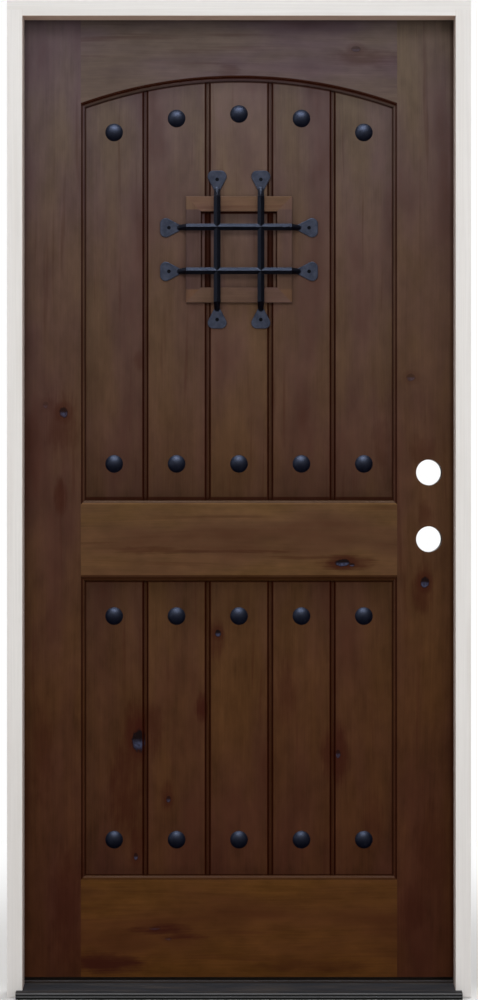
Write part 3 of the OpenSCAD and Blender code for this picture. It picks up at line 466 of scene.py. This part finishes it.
# %% Glaze and painted shade of the planks
# The glaze's colour; it also paints shade
GLAZE_AND_SHADE = tone(31, 5, 0)
JOINT_X = (0.0653, 0.1959)
CHANNEL_REACH = 0.008
CHANNEL_STOPS = greys((0, 0.42), (0.26, 0.48), (0.44, 0.97), (0.74, 0.97), (0.94, 0), (1, 0))
MOULD_X, ARCH_Z, ARCH_R = 0.3217, 0.93466, 0.96838
UPPER_PANEL_FOOT, LOWER_PANEL_TOP, LOWER_PANEL_FOOT = 1.02765, 0.85825, 0.24345


def from_arch(board):
    """The distance outside the circle of the leaf's arch."""
    rise = board.z - ARCH_Z
    return (board.x * board.x + rise * rise) ** 0.5 - ARCH_R


def from_joint(board):
    """The distance from the nearest joint between two planks."""
    return abs(abs(board.x) - JOINT_X[0]).least(abs(abs(board.x) - JOINT_X[1]))


def plank_glaze_and_shade(board):
    """The glazing and painted shade on a plank, and the share by which painted shade darkens it.
    """
    above_foot = board.z - UPPER_PANEL_FOOT
    from_rail = above_foot.most(LOWER_PANEL_TOP - board.z)
    edge = (MOULD_X - abs(board.x)).least(0.0 - from_arch(board))
    edge = edge.least(from_rail).least(board.z - LOWER_PANEL_FOOT)
    glaze_and_shade = board.level(edge, 0.0032, 0.0012, 0.0, 0.80)
    on_foot = board.level(above_foot, 0.0, 0.0005, 0.0, 0.85)
    glaze_and_shade = glaze_and_shade.most(on_foot * board.level(above_foot, 0.0080, 0.0060))
    glaze_and_shade = glaze_and_shade.most(board.ramp(from_joint(board) / CHANNEL_REACH, CHANNEL_STOPS))
    shade = board.level(from_rail, 0.0, 0.15, 0.78, 1.0)
    return glaze_and_shade, shade * board.level(edge, 0.003, 0.03, 0.86, 1.0)


print("Channels at x =", JOINT_X, "on both sides; glaze", [round(v, 3) for v in GLAZE_AND_SHADE[:3]])

# %% [markdown]
# ## Glaze and painted shade on the small door
# The small door is cut from the same planks, so it has their channel. Its own edges are darker:
# glaze stays in the gap round it, and painted shade lies in the recess under the trim's edges. The
# trim shades its upper part in the photograph, and that shade is painted on too.

# %% Glaze and painted shade of the small door
# The left, right and top edge of what shows of the small door inside the trim
RIM_LEFT, RIM_RIGHT, RIM_TOP = -0.08448, 0.08448, 1.63621
TRIM_OVERHANG = 0.002


def small_door_glaze_and_shade(board):
    """The glazing and painted shade on the small door, and the share by which painted shade
    darkens it.
    """
    glaze_and_shade, shade = plank_glaze_and_shade(board)
    below_top = RIM_TOP - board.z
    edge = (board.x - RIM_LEFT).least(RIM_RIGHT - board.x).least(below_top - TRIM_OVERHANG)
    glaze_and_shade = glaze_and_shade.most(board.level(edge, 0.0085, 0.0065, 0.0, 0.97))
    glaze_and_shade = glaze_and_shade.most(board.level(from_joint(board), 0.0068, 0.0054, 0.0, 0.94))
    return glaze_and_shade, shade * board.level(below_top, 0.012, 0.038, 0.62, 1.0)


print("Small door:", round(RIM_RIGHT - RIM_LEFT, 4), "m wide inside the trim")

# %% [markdown]
# ## Glaze and painted shade on stiles and rails
# The stiles and rails have a rounded moulding at the panels. Glaze, with painted shade, lies in
# its quirk and at its foot, which is a matter of depth below the face, so a ramp by depth paints
# it. An arris that faces up gets a painted highlight, lighter where light from above catches it,
# and holds less glaze, and the lock rail's moulding below, which faces down, is darker with glaze
# and painted shade. On the arch the ramp runs by the distance from its circle, as depth makes it
# kink there.
# Two dark bands aren't glaze: they are the shade that the frame's stops and head throw on the
# leaf in the photograph. They are painted with the glaze's colour, because the lamps give only
# part of them, and so they stay on the leaf when it opens.

# %% Glaze and painted shade of the stiles and rails
DOOR_T, LEAF_MIDDLE_Y, STOP_X = 0.04445, 0.035725, 0.44767
MOULD_DEEP, ARCH_REACH = 0.011, 0.015
FACE_STOPS = greys((0, 0), (0.02, 0.78), (0.30, 0.86), (0.36, 0.24), (0.58, 0.26), (0.75, 0.86),
                   (1, 1))
ARCH_STOPS = greys((0, 0.85), (0.10, 0.50), (0.34, 0.52), (0.44, 1), (0.72, 1), (0.84, 0))
# Each arris that faces up: its height, how high its painted highlight reaches, how much lighter,
# and its glaze and shade
LIT_EDGES = {"lock_rail": (1.0186, 0.0026, 0.62, 0.48),
             "bottom_rail": (0.2344, 0.0004, 0.0, 0.52)}
HEAD_SHADE = (2.014, 2.034)
LOCK_RAIL_FOOT = LOWER_PANEL_TOP + 0.0140


def face_glaze_and_shade(board, piece):
    """The glazing and painted shade on a stile or rail, and the share by which a painted highlight
    lightens it.
    """
    z, painted_highlight = board.z, 1.0
    depth = DOOR_T / 2 - abs(board.y - LEAF_MIDDLE_Y)
    glaze_and_shade = board.ramp(depth / MOULD_DEEP, FACE_STOPS)
    if piece.endswith("stile"):
        by_stop = board.level(abs(board.x), STOP_X - 0.010, STOP_X - 0.002)
        glaze_and_shade = glaze_and_shade.most(by_stop * board.level(board.x, -0.1, 0.1, 0.12, 0.60))
    if piece in LIT_EDGES:
        arris, highlight_reach, highlight_by, glazed_and_shaded_by = LIT_EDGES[piece]
        # A painted highlight on the arris, where light from above catches it
        up = board.level(z, arris, arris + 0.0008)
        above = board.level(z, arris + highlight_reach, arris + highlight_reach + 0.001)
        glaze_and_shade = glaze_and_shade * (1.0 - up) + up * above * glazed_and_shaded_by
        painted_highlight = up * (1.0 - above) * highlight_by + 1.0
    if piece == "lock_rail":
        # Painted shade, with glaze, on the lock rail's lower moulding, which faces down
        glaze_and_shade = glaze_and_shade.most(board.level(z, LOCK_RAIL_FOOT, LOCK_RAIL_FOOT - 0.002, 0.0, 0.74))
    if piece == "top_rail":
        glaze_and_shade = glaze_and_shade.most(board.ramp(from_arch(board) / ARCH_REACH, ARCH_STOPS))
    return glaze_and_shade.most(board.level(z, *HEAD_SHADE, 0.0, 0.45)), painted_highlight


print("Moulding painted to", MOULD_DEEP, "m below the face")

# %% [markdown]
# ## A finished board
# Now a board is the stained wood with its painted light, its knots, the glaze and painted shade
# that its kind of piece holds, and a bump from rings and fibre. Its shine is kept low and brown:
# the coat is satin, and a white studio mirrored in it would grey the whole leaf. The four trims
# have no glaze, but the mitred ends of the side ones are as tan as the trims that they meet.

# %% Wood
SMALL_DOOR_Z = 1.5517
MITRE_FROM, MITRE_TO = 0.0815, 0.0855
MITRE_TINT = tint_of(1.22, 1.12, 1.08)
BROWN_SHEEN = (1.0, 0.6, 0.38, 1.0)


def wood(piece, along, seed, tint, knots=(), stains=()):
    """Paints one piece; a knot is (x, z, half width, half height, darkness)."""
    board = Board(piece + "_wood", along, seed, knots)
    if piece in ("trim_left", "trim_right"):
        at_end = board.level(abs(board.z - SMALL_DOOR_Z), MITRE_FROM, MITRE_TO)
        tint = board.mix(at_end, tint, MITRE_TINT)
    base = stained_and_lit(board, tint, stains)
    grain = board.rings * 0.3 + board.fibre * 0.8
    if knots:
        base = knotted(board, base)
        grain = grain - board.dark * 1.5
    if not piece.startswith("trim"):
        if piece == "wicket_panel":
            glaze_and_shade, shade = small_door_glaze_and_shade(board)
        elif "plank" in piece:
            glaze_and_shade, shade = plank_glaze_and_shade(board)
        else:
            glaze_and_shade, shade = face_glaze_and_shade(board, piece)
        base = board.mix(glaze_and_shade, board.scaled(base, shade), GLAZE_AND_SHADE)
    paint(board.shade(Base_Color=base, Roughness=board.level(board.blotch, 0.3, 0.7, 0.42, 0.54),
                      Specular_IOR_Level=0.03, Specular_Tint=BROWN_SHEEN,
                      Normal=board.bump(grain, 0.18, 0.0005)), piece)


print("Wood is ready")

# %% [markdown]
# ## Stiles and rails
# The leaf's frame is two stiles and three rails, doweled together. In the photograph each board
# is a shade lighter, redder or yellower than its neighbour, and has its own knots. Those few facts
# are all that tells the boards apart: the rest is the same finish with another seed. The two lower
# rails are the palest boards.

# %% Finishes of the stiles and rails
# Each piece: its length's axis, seed, tint, knots and stains
FRAMING = {
    "hinge_stile": (
        "z", 1.3, tint_of(0.99, 0.98, 1.04),
        [(-0.366, 1.211, 0.010, 0.012, 0.85), (-0.404, 1.226, 0.006, 0.008, 0.3)],
        [(-0.373, 1.035, 0.012, 0.035, 0.7), (-0.372, 1.19, 0.035, 0.06, 0.5),
         (-0.36, 0.20, 0.035, 0.09, 0.6), (-0.41, 0.50, 0.022, 0.10, 0.4),
         (-0.350, 0.10, 0.04, 0.05, 0.5)]),
    "latch_stile": (
        "z", 2.1, tint_of(0.98, 0.95, 0.90),
        [(0.388, 0.856, 0.009, 0.012, 0.95), (0.360, 1.284, 0.010, 0.008, 0.4)],
        [(0.385, 0.840, 0.020, 0.045, 0.6), (0.385, 1.13, 0.025, 0.03, 0.35),
         (0.40, 0.30, 0.035, 0.10, 0.4), (0.36, 0.17, 0.03, 0.06, 0.5),
         (0.39, 1.00, 0.015, 0.03, 0.5)]),
    "top_rail": (
        "x", 3.7, tint_of(0.92, 0.91, 0.99),
        [(0.244, 1.970, 0.011, 0.007, 0.4)],
        [(0.27, 1.950, 0.07, 0.018, 0.35), (-0.02, 1.925, 0.02, 0.012, 0.3)]),
    "lock_rail": (
        "x", 4.4, tint_of(1.40, 1.54, 1.22),
        [(0.216, 0.897, 0.016, 0.008, 1.0), (0.236, 0.8925, 0.007, 0.004, 0.8)],
        [(0.225, 0.897, 0.055, 0.014, 0.8), (-0.03, 0.921, 0.16, 0.004, 0.5),
         (-0.19, 0.923, 0.07, 0.008, 0.5), (0.15, 0.908, 0.08, 0.004, 0.4)]),
    "bottom_rail": (
        "x", 5.2, tint_of(1.56, 1.76, 1.02),
        [(-0.176, 0.134, 0.016, 0.0045, 0.2), (-0.148, 0.112, 0.008, 0.004, 0.3)],
        [(-0.165, 0.132, 0.060, 0.012, 1.0), (-0.115, 0.116, 0.045, 0.007, 0.8),
         (-0.27, 0.062, 0.070, 0.022, 0.95), (0.17, 0.055, 0.11, 0.012, 0.35)]),
}
for piece, facts in FRAMING.items():
    wood(piece, *facts)
print("Stiles and rails:", len(FRAMING))

# %% [markdown]
# ## Planks
# Ten tongued planks fill the two panels, and the middle one above is cut in two by the opening for
# the small door. Both parts and the small door share a seed, because they are sawn from one board,
# and so their grain runs through all three.

# %% Finishes of the planks
# Each piece: its seed, tint, knots and stains
PLANKS = {
    "upper_plank_1": (6.1, tint_of(0.96, 0.96, 1.0), [], [(-0.21, 1.32, 0.012, 0.02, 0.4)]),
    "upper_plank_2": (7.4, tint_of(1.02, 1.02, 1.0)),
    "upper_plank_3_top": (8.3, tint_of(1.18, 1.16, 1.08)),
    "upper_plank_3_bottom": (8.3, tint_of(1.06, 1.04, 1.0)),
    "upper_plank_4": (9.6, tint_of(0.98, 0.96, 0.94)),
    "upper_plank_5": (10.2, tint_of(1.0, 1.0, 1.0), [], [(0.30, 1.15, 0.02, 0.07, 0.3)]),
    "lower_plank_1": (
        11.9, tint_of(0.94, 0.95, 1.0),
        [(-0.2085, 0.524, 0.0165, 0.026, 1.0), (-0.216, 0.282, 0.005, 0.009, 0.7)],
        [(-0.207, 0.551, 0.016, 0.022, 1.0), (-0.212, 0.545, 0.028, 0.055, 0.7),
         (-0.24, 0.42, 0.035, 0.09, 0.6), (-0.215, 0.30, 0.016, 0.05, 0.6)]),
    "lower_plank_2": (
        12.7, tint_of(1.05, 1.08, 1.03), [(-0.148, 0.402, 0.005, 0.008, 0.7)],
        [(-0.078, 0.592, 0.014, 0.030, 0.95), (-0.15, 0.41, 0.014, 0.03, 0.6),
         (-0.18, 0.55, 0.02, 0.05, 0.5)]),
    "lower_plank_3": (
        13.5, tint_of(1.03, 1.03, 1.0), [(-0.044, 0.749, 0.0065, 0.008, 0.95)],
        [(-0.047, 0.735, 0.016, 0.04, 0.6)]),
    "lower_plank_4": (
        14.8, tint_of(1.0, 0.99, 0.94), [],
        [(0.185, 0.50, 0.014, 0.045, 0.7), (0.10, 0.62, 0.02, 0.07, 0.4)]),
    "lower_plank_5": (
        15.6, tint_of(1.0, 0.98, 0.97), [(0.207, 0.497, 0.006, 0.010, 0.7)],
        [(0.21, 0.50, 0.018, 0.06, 0.8), (0.28, 0.36, 0.02, 0.05, 0.4)]),
    "wicket_panel": (8.3, tint_of(1.08, 1.08, 1.30)),
}
for piece, facts in PLANKS.items():
    wood(piece, "z", *facts)
print("Planks and the small door:", len(PLANKS))

# %% [markdown]
# ## Trims
# Four mitred lengths of wood frame the opening. The top and bottom ones are tan in the
# photograph, and the two side ones are nearly as dark as the planks, so each gets its own tint.

# %% Finishes of the trims
# Each piece: its length's axis, seed and tint
TRIMS = {
    "trim_top": ("x", 16.4, tint_of(1.38, 1.22, 1.10)),
    "trim_bottom": ("x", 17.2, tint_of(1.10, 1.10, 1.26)),
    "trim_left": ("z", 20.9, tint_of(0.74, 0.72, 1.0)),
    "trim_right": ("z", 21.5, tint_of(0.94, 0.92, 1.02)),
}
for piece, facts in TRIMS.items():
    wood(piece, *facts)
print("Trims:", len(TRIMS))

# %% [markdown]
# ## Black iron
# The clavos, the grille and the small door's fittings are black iron with a bluish mill scale. A
# forged surface is a little uneven, so a slow bump breaks its highlight, and the scale is greyer
# in patches. The fan feet of the grille were hammered flat, and so they are paler than its bars:
# they lie nearest the planks, and their depth tells them from the rest.

# %% Iron
FOOT_FACE_Y = 0.020
BLUED = (0.80, 0.84, 1.0, 1.0)
FOOT_IRON = (tone(32, 36, 48), tone(48, 52, 65))


def iron(name, bare, scale_colour, uneven, rough, gloss, feet=None):
    f = Finish(name)
    patches = f.noise(f.place, 55.0, 4.0, 0.6)
    pits = f.noise(f.place, 420.0, 2.0, 0.5)
    colour = f.mix(f.level(patches, 0.40, 0.66), bare, scale_colour)
    if feet:
        on_foot = f.level(f.y, FOOT_FACE_Y - 0.003, FOOT_FACE_Y - 0.001)
        colour = f.mix(on_foot, colour, f.mix(f.level(patches, 0.35, 0.65), *feet))
    return f.shade(Base_Color=colour,
                   Roughness=f.level(pits, 0.3, 0.7, rough - 0.04, rough + 0.06),
                   Specular_IOR_Level=gloss, Specular_Tint=BLUED,
                   Normal=f.bump(patches + pits * 0.35, uneven, 0.0009))


paint(iron("grille_iron", tone(0, 0, 4), tone(3, 4, 10), 0.25, 0.34, 0.10, FOOT_IRON),
      "grille_upright_left", "grille_upright_right", "grille_crossbar_top",
      "grille_crossbar_bottom")
paint(iron("fitting_iron", tone(14, 14, 17), tone(24, 24, 28), 0.3, 0.38, 0.15),
      "wicket_fixed_hinges", "wicket_moving_hinges", "bolt_case", "bolt_keeper", "bolt_rod",
      "wicket_hinge_pins")
clavo_iron = iron("clavo_iron", tone(1, 2, 12), tone(4, 6, 18), 0.03, 0.52, 0.085)
paint(clavo_iron, "clavos")
paint(iron("nail_iron", tone(3, 3, 5), tone(8, 8, 11), 0.1, 0.5, 0.02), "grille_nails")
print("Irons: grille, fittings, clavos, nails")

# %% [markdown]
# ## Where the clavos are
# A clavo is a nail with a domed head. The CAD model holds all twenty in one mesh of loose
# triangles. A merged copy of it falls apart into islands of joined points, and the box of each
# island tells where one clavo is, how wide its head is and how far it stands out.

# %% Boxes of the clavos
MERGE = 1e-6


def islands(node):
    """The separate solids of a CAD node, each as its lowest and highest corner."""
    copy = bmesh.new()
    copy.from_mesh(nodes[node].data)
    bmesh.ops.remove_doubles(copy, verts=copy.verts, dist=MERGE)
    left, boxes = set(copy.verts), []
    while left:
        group, waiting = set(), [left.pop()]
        while waiting:
            vertex = waiting.pop()
            group.add(vertex)
            for link in vertex.link_edges:
                other = link.other_vert(vertex)
                if other in left:
                    left.discard(other)
                    waiting.append(other)
        boxes.append([Vector([pick(v.co[i] for v in group) for i in range(3)])
                      for pick in (min, max)])
    copy.free()
    return boxes


clavo_boxes = islands("clavos")
print("Clavos:", len(clavo_boxes))

# %% [markdown]
# ## Turned domes
# A clavo's head is part of a ball, so its highlight is a small round spot, and flat faces would
# break it. Each one is turned as on a lathe: half of its outline, from the top of the dome over
# the rim to the end of its shank, is spun about an axis that stands out of the leaf. The ball's
# radius follows from the head's width and height. Spinning can turn a shape inside out, so the
# ends on the axis are merged, and the normals are worked out anew.

# %% Domes of the clavos
PLANK_FACE_Y, SHANK_R = 0.0245, 0.0025
DOME_STEPS, DOME_SIDES, SHARP_FROM = 14, 40, radians(40)


def turned(bm, outline, centre):
    """Spins an outline of (radius, height) points about an axis that stands out of the leaf."""
    points = [bm.verts.new((centre[0] + radius, centre[1] - height, centre[2]))
              for radius, height in outline]
    lines = [bm.edges.new(ends) for ends in zip(points, points[1:])]
    bmesh.ops.spin(bm, geom=points + lines, cent=centre, axis=(0, 1, 0), angle=2 * pi,
                   steps=DOME_SIDES, use_merge=True)


heads = bmesh.new()
for low, high in clavo_boxes:
    radius, tall = (high.x - low.x) / 2, PLANK_FACE_Y - low.y
    ball = (radius ** 2 + tall ** 2) / (2 * tall)
    turns = [asin(radius / ball) * step / DOME_STEPS for step in range(DOME_STEPS + 1)]
    dome = [(ball * sin(turn), tall - ball + ball * cos(turn)) for turn in turns]
    shank_end = PLANK_FACE_Y - high.y
    shank = [(SHANK_R, 0.0), (SHANK_R, shank_end), (0.0, shank_end)]
    turned(heads, dome + shank, ((low.x + high.x) / 2, PLANK_FACE_Y, (low.z + high.z) / 2))
bmesh.ops.remove_doubles(heads, verts=heads.verts, dist=MERGE)
bmesh.ops.recalc_face_normals(heads, faces=heads.faces)
for face in heads.faces:
    face.smooth = True
clavo_heads = add_object("clavo_heads", mesh_of("clavo_heads", heads))
clavo_heads.data.set_sharp_from_angle(angle=SHARP_FROM)
clavo_heads.data.materials.append(clavo_iron)
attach(clavo_heads, "door")
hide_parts("clavos")
print("Faces of the domes:", len(clavo_heads.data.polygons))

# %% [markdown]
# ## Bronze and zinc
# The butt hinges are steel with an oil rubbed bronze finish, dark with warmer patches where hands
# and screwdrivers rub it. The hidden screws of the sill and the frame are plain zinc. Both are
# metals, so their colour is the colour of their reflection.

# %% Bronze and zinc
def metal(name, main, other, metallic, rough):
    f = Finish(name)
    patches = f.noise(f.place, 90.0, 4.0, 0.6)
    colour = f.mix(f.level(patches, 0.38, 0.68), main, other)
    return f.shade(Base_Color=colour, Metallic=metallic,
                   Roughness=f.level(patches, 0.3, 0.7, rough - 0.06, rough + 0.08),
                   Normal=f.bump(patches, 0.15, 0.0004))


bronze = metal("rubbed_bronze", tone(70, 58, 50), tone(98, 76, 58), 0.85, 0.42)
for place in ("top", "middle", "bottom"):
    paint(bronze, f"{place}_hinge_frame_leaf", f"{place}_hinge_pin", f"{place}_hinge_door_leaf")
paint(bronze, "hinge_door_screws", "hinge_frame_screws")
zinc = metal("zinc", tone(150, 150, 146), tone(126, 126, 124), 0.9, 0.35)
paint(zinc, "riser_screws", "frame_screws")
print("Metals:", bronze.name, "and", zinc.name)

# %% [markdown]
# ## The sill's deck
# The deck is dark anodised metal, drawn through a die, so fine lines run along it. It is painted
# browner in patches, a painted reflection of the stained leaf. Its nose is ribbed, and from in
# front the ribs are two pale stripes on dark, so the nose is painted by height: the stripes are
# painted highlights on the ribs, and the dark between them is painted shade in their grooves.

# %% Deck of the sill
DECK_NOSE_Y, NOSE_HIGH = -0.0825, 0.014
# The pale stripes are painted highlights on the ribs, the dark ones painted shade in the grooves
NOSE_STOPS = [(0.00, tone(22, 22, 21)), (0.30, tone(24, 24, 23)), (0.33, tone(92, 92, 92)),
              (0.44, tone(88, 88, 88)), (0.47, tone(32, 32, 32)), (0.74, tone(32, 32, 32)),
              (0.77, tone(98, 97, 97)), (0.92, tone(94, 93, 93)), (0.96, tone(58, 57, 58))]
deck = Finish("dark_bronze_deck")
marks = deck.drawn_out("x", 60.0, 9.0, 4.0, 0.6)
lines = deck.drawn_out("x", 900.0, 3.0, 1.0, 0.5)
# Brown patches: a painted reflection of the stained leaf
colour = deck.mix(deck.level(marks, 0.42, 0.66), tone(52, 52, 54), tone(66, 60, 55))
colour = deck.mix(deck.level(lines, 0.45, 0.75, 0.0, 0.35), colour, tone(26, 26, 27))
on_nose = deck.level(deck.y, DECK_NOSE_Y, DECK_NOSE_Y - 0.0005)
colour = deck.mix(on_nose, colour, deck.ramp(deck.z / NOSE_HIGH, NOSE_STOPS))
paint(deck.shade(Base_Color=colour, Metallic=0.2, Specular_IOR_Level=0.04,
                 Roughness=deck.level(marks, 0.3, 0.7, 0.42, 0.55),
                 Normal=deck.bump(lines, 0.2, 0.0002)), "sill_deck")
print("Stops across the nose:", len(NOSE_STOPS))

# %% [markdown]
# ## Seals, sweep and the sill's base
# The base is a composite of wood flour and plastic, the seals are foam in a soft brown skin, and
# the sweep is dark rubber. All three are matt and nearly even, so one finish serves: two close
# tones, mixed by noise at the size of each one's own texture.

# %% Matt finishes
def matt(name, main, other, size, rough):
    f = Finish(name)
    spots = f.noise(f.place, size, 4.0, 0.6)
    colour = f.mix(f.level(spots, 0.35, 0.65), main, other)
    return f.shade(Base_Color=colour, Roughness=rough, Specular_IOR_Level=0.05,
                   Normal=f.bump(spots, 0.4, 0.0004))


paint(matt("sill_composite", tone(92, 82, 72), tone(74, 66, 59), 240.0, 0.75), "sill_base")
paint(matt("seal_skin", tone(36, 25, 20), tone(29, 19, 15), 500.0, 0.62), "hinge_side_seal",
      "latch_side_seal", "head_seal", "corner_pads")
paint(matt("sweep_rubber", tone(42, 36, 32), tone(32, 28, 25), 400.0, 0.6), "door_sweep")
print("Matt finishes: 3")

# %% [markdown]
# ## Primer
# The frame is primed timber: matt, pale and warm, with faint brush lines along each length, and a
# little darker towards the floor. Its inner faces, between the stops and the front, look darker
# and browner in the photograph, because the stained leaf throws brown light on them. The lamps
# here give only part of that, so those faces are painted a shade browner.

# %% Primer on the frame
HEAD_UNDERSIDE = 2.02882
PRIMER, PRIMER_LINES, PRIMER_PATCH = tone(221, 218, 215), tone(214, 211, 208), tone(208, 203, 198)
DARKER_FOOT = tone(206, 201, 198)


def primer(name, along, past_reveal, reveal_tone):
    """past_reveal tells how far a point lies behind the inner face of this jamb."""
    f = Finish(name)
    brush = f.drawn_out(along, 330.0, 4.0, 3.0, 0.6)
    broad = f.drawn_out(along, 40.0, 2.0, 2.0, 0.5)
    colour = f.mix(f.level(brush, 0.30, 0.72), PRIMER, PRIMER_LINES)
    colour = f.mix(f.level(broad, 0.45, 0.7, 0.0, 0.4), colour, PRIMER_PATCH)
    if along == "z":
        colour = f.mix(f.level(f.z, 0.9, 0.0, 0.0, 0.2), colour, DARKER_FOOT)
    colour = f.mix(f.level(past_reveal(f), 0.0006, 0.0002), colour, reveal_tone)
    return f.shade(Base_Color=colour, Roughness=0.6, Specular_IOR_Level=0.05,
                   Normal=f.bump(brush, 0.16, 0.0003))


paint(primer("primer_on_jambs", "z", lambda f: abs(f.x) - STOP_X, tone(197, 183, 174)),
      "hinge_jamb", "latch_jamb")
paint(primer("primer_on_head", "x", lambda f: f.z - HEAD_UNDERSIDE, tone(186, 160, 145)),
      "head_jamb")
print("Primed: two jambs and the head")

# %% [markdown]
# ## Bare and stained timber
# The riser is a strip of wood with a dark stain, and the dowels in the leaf are bare beech. Noise
# drawn out along their length gives both their fibre.

# %% Riser and dowels
def timber(name, main, other):
    f = Finish(name)
    fibre = f.drawn_out("x", 300.0, 6.0, 4.0, 0.6)
    return f.shade(Base_Color=f.mix(f.level(fibre, 0.3, 0.7), main, other), Roughness=0.55,
                   Specular_IOR_Level=0.06, Normal=f.bump(fibre, 0.2, 0.0004))


paint(timber("riser_stain", tone(50, 40, 33), tone(36, 29, 24)), "sill_riser")
paint(timber("dowel_beech", tone(214, 184, 142), tone(196, 160, 116)), "rail_dowels")
print("Timber: riser and dowels")

# %% [markdown]
# ## The floor's finish
# Near the door the floor is a pale matt surface that takes its shadow. Further out it has to meet
# the white of the world with no line between them, so what the camera sees there turns into a
# plain white glow. The light on the door doesn't change, because only camera rays see the glow.

# %% Finish of the floor
GLOW_FROM, GLOW_FULL = 0.8, 3.0
BLACK, GLOWING = (0, 0, 0, 1), (1, 1, 1, 1)
ground = Finish("pale_floor")
spots = ground.noise(ground.place, 1.5, 3.0, 0.5)
outward = (ground.x * ground.x + ground.y * ground.y) ** 0.5
glow = ground.node("ShaderNodeLightPath", output="Is Camera Ray") \
    * ground.level(outward, GLOW_FROM, GLOW_FULL)
pale = ground.mix(ground.level(spots, 0.3, 0.7), tone(238, 237, 236), tone(242, 241, 240))
floor.data.materials.append(ground.shade(
    Base_Color=ground.mix(glow, pale, BLACK), Emission_Color=ground.mix(glow, BLACK, GLOWING),
    Emission_Strength=1.0, Specular_IOR_Level=0.0, Roughness=0.7))
print("All finishes:", len(bpy.data.materials))

# %% [markdown]
# ## Sizes at the end
# The box of everything that shows is written beside the CAD box, so the two can be compared.

# %% Measure and finish
low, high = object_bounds()
print("Visual box:", [round(v, 4) for v in low], [round(v, 4) for v in high])
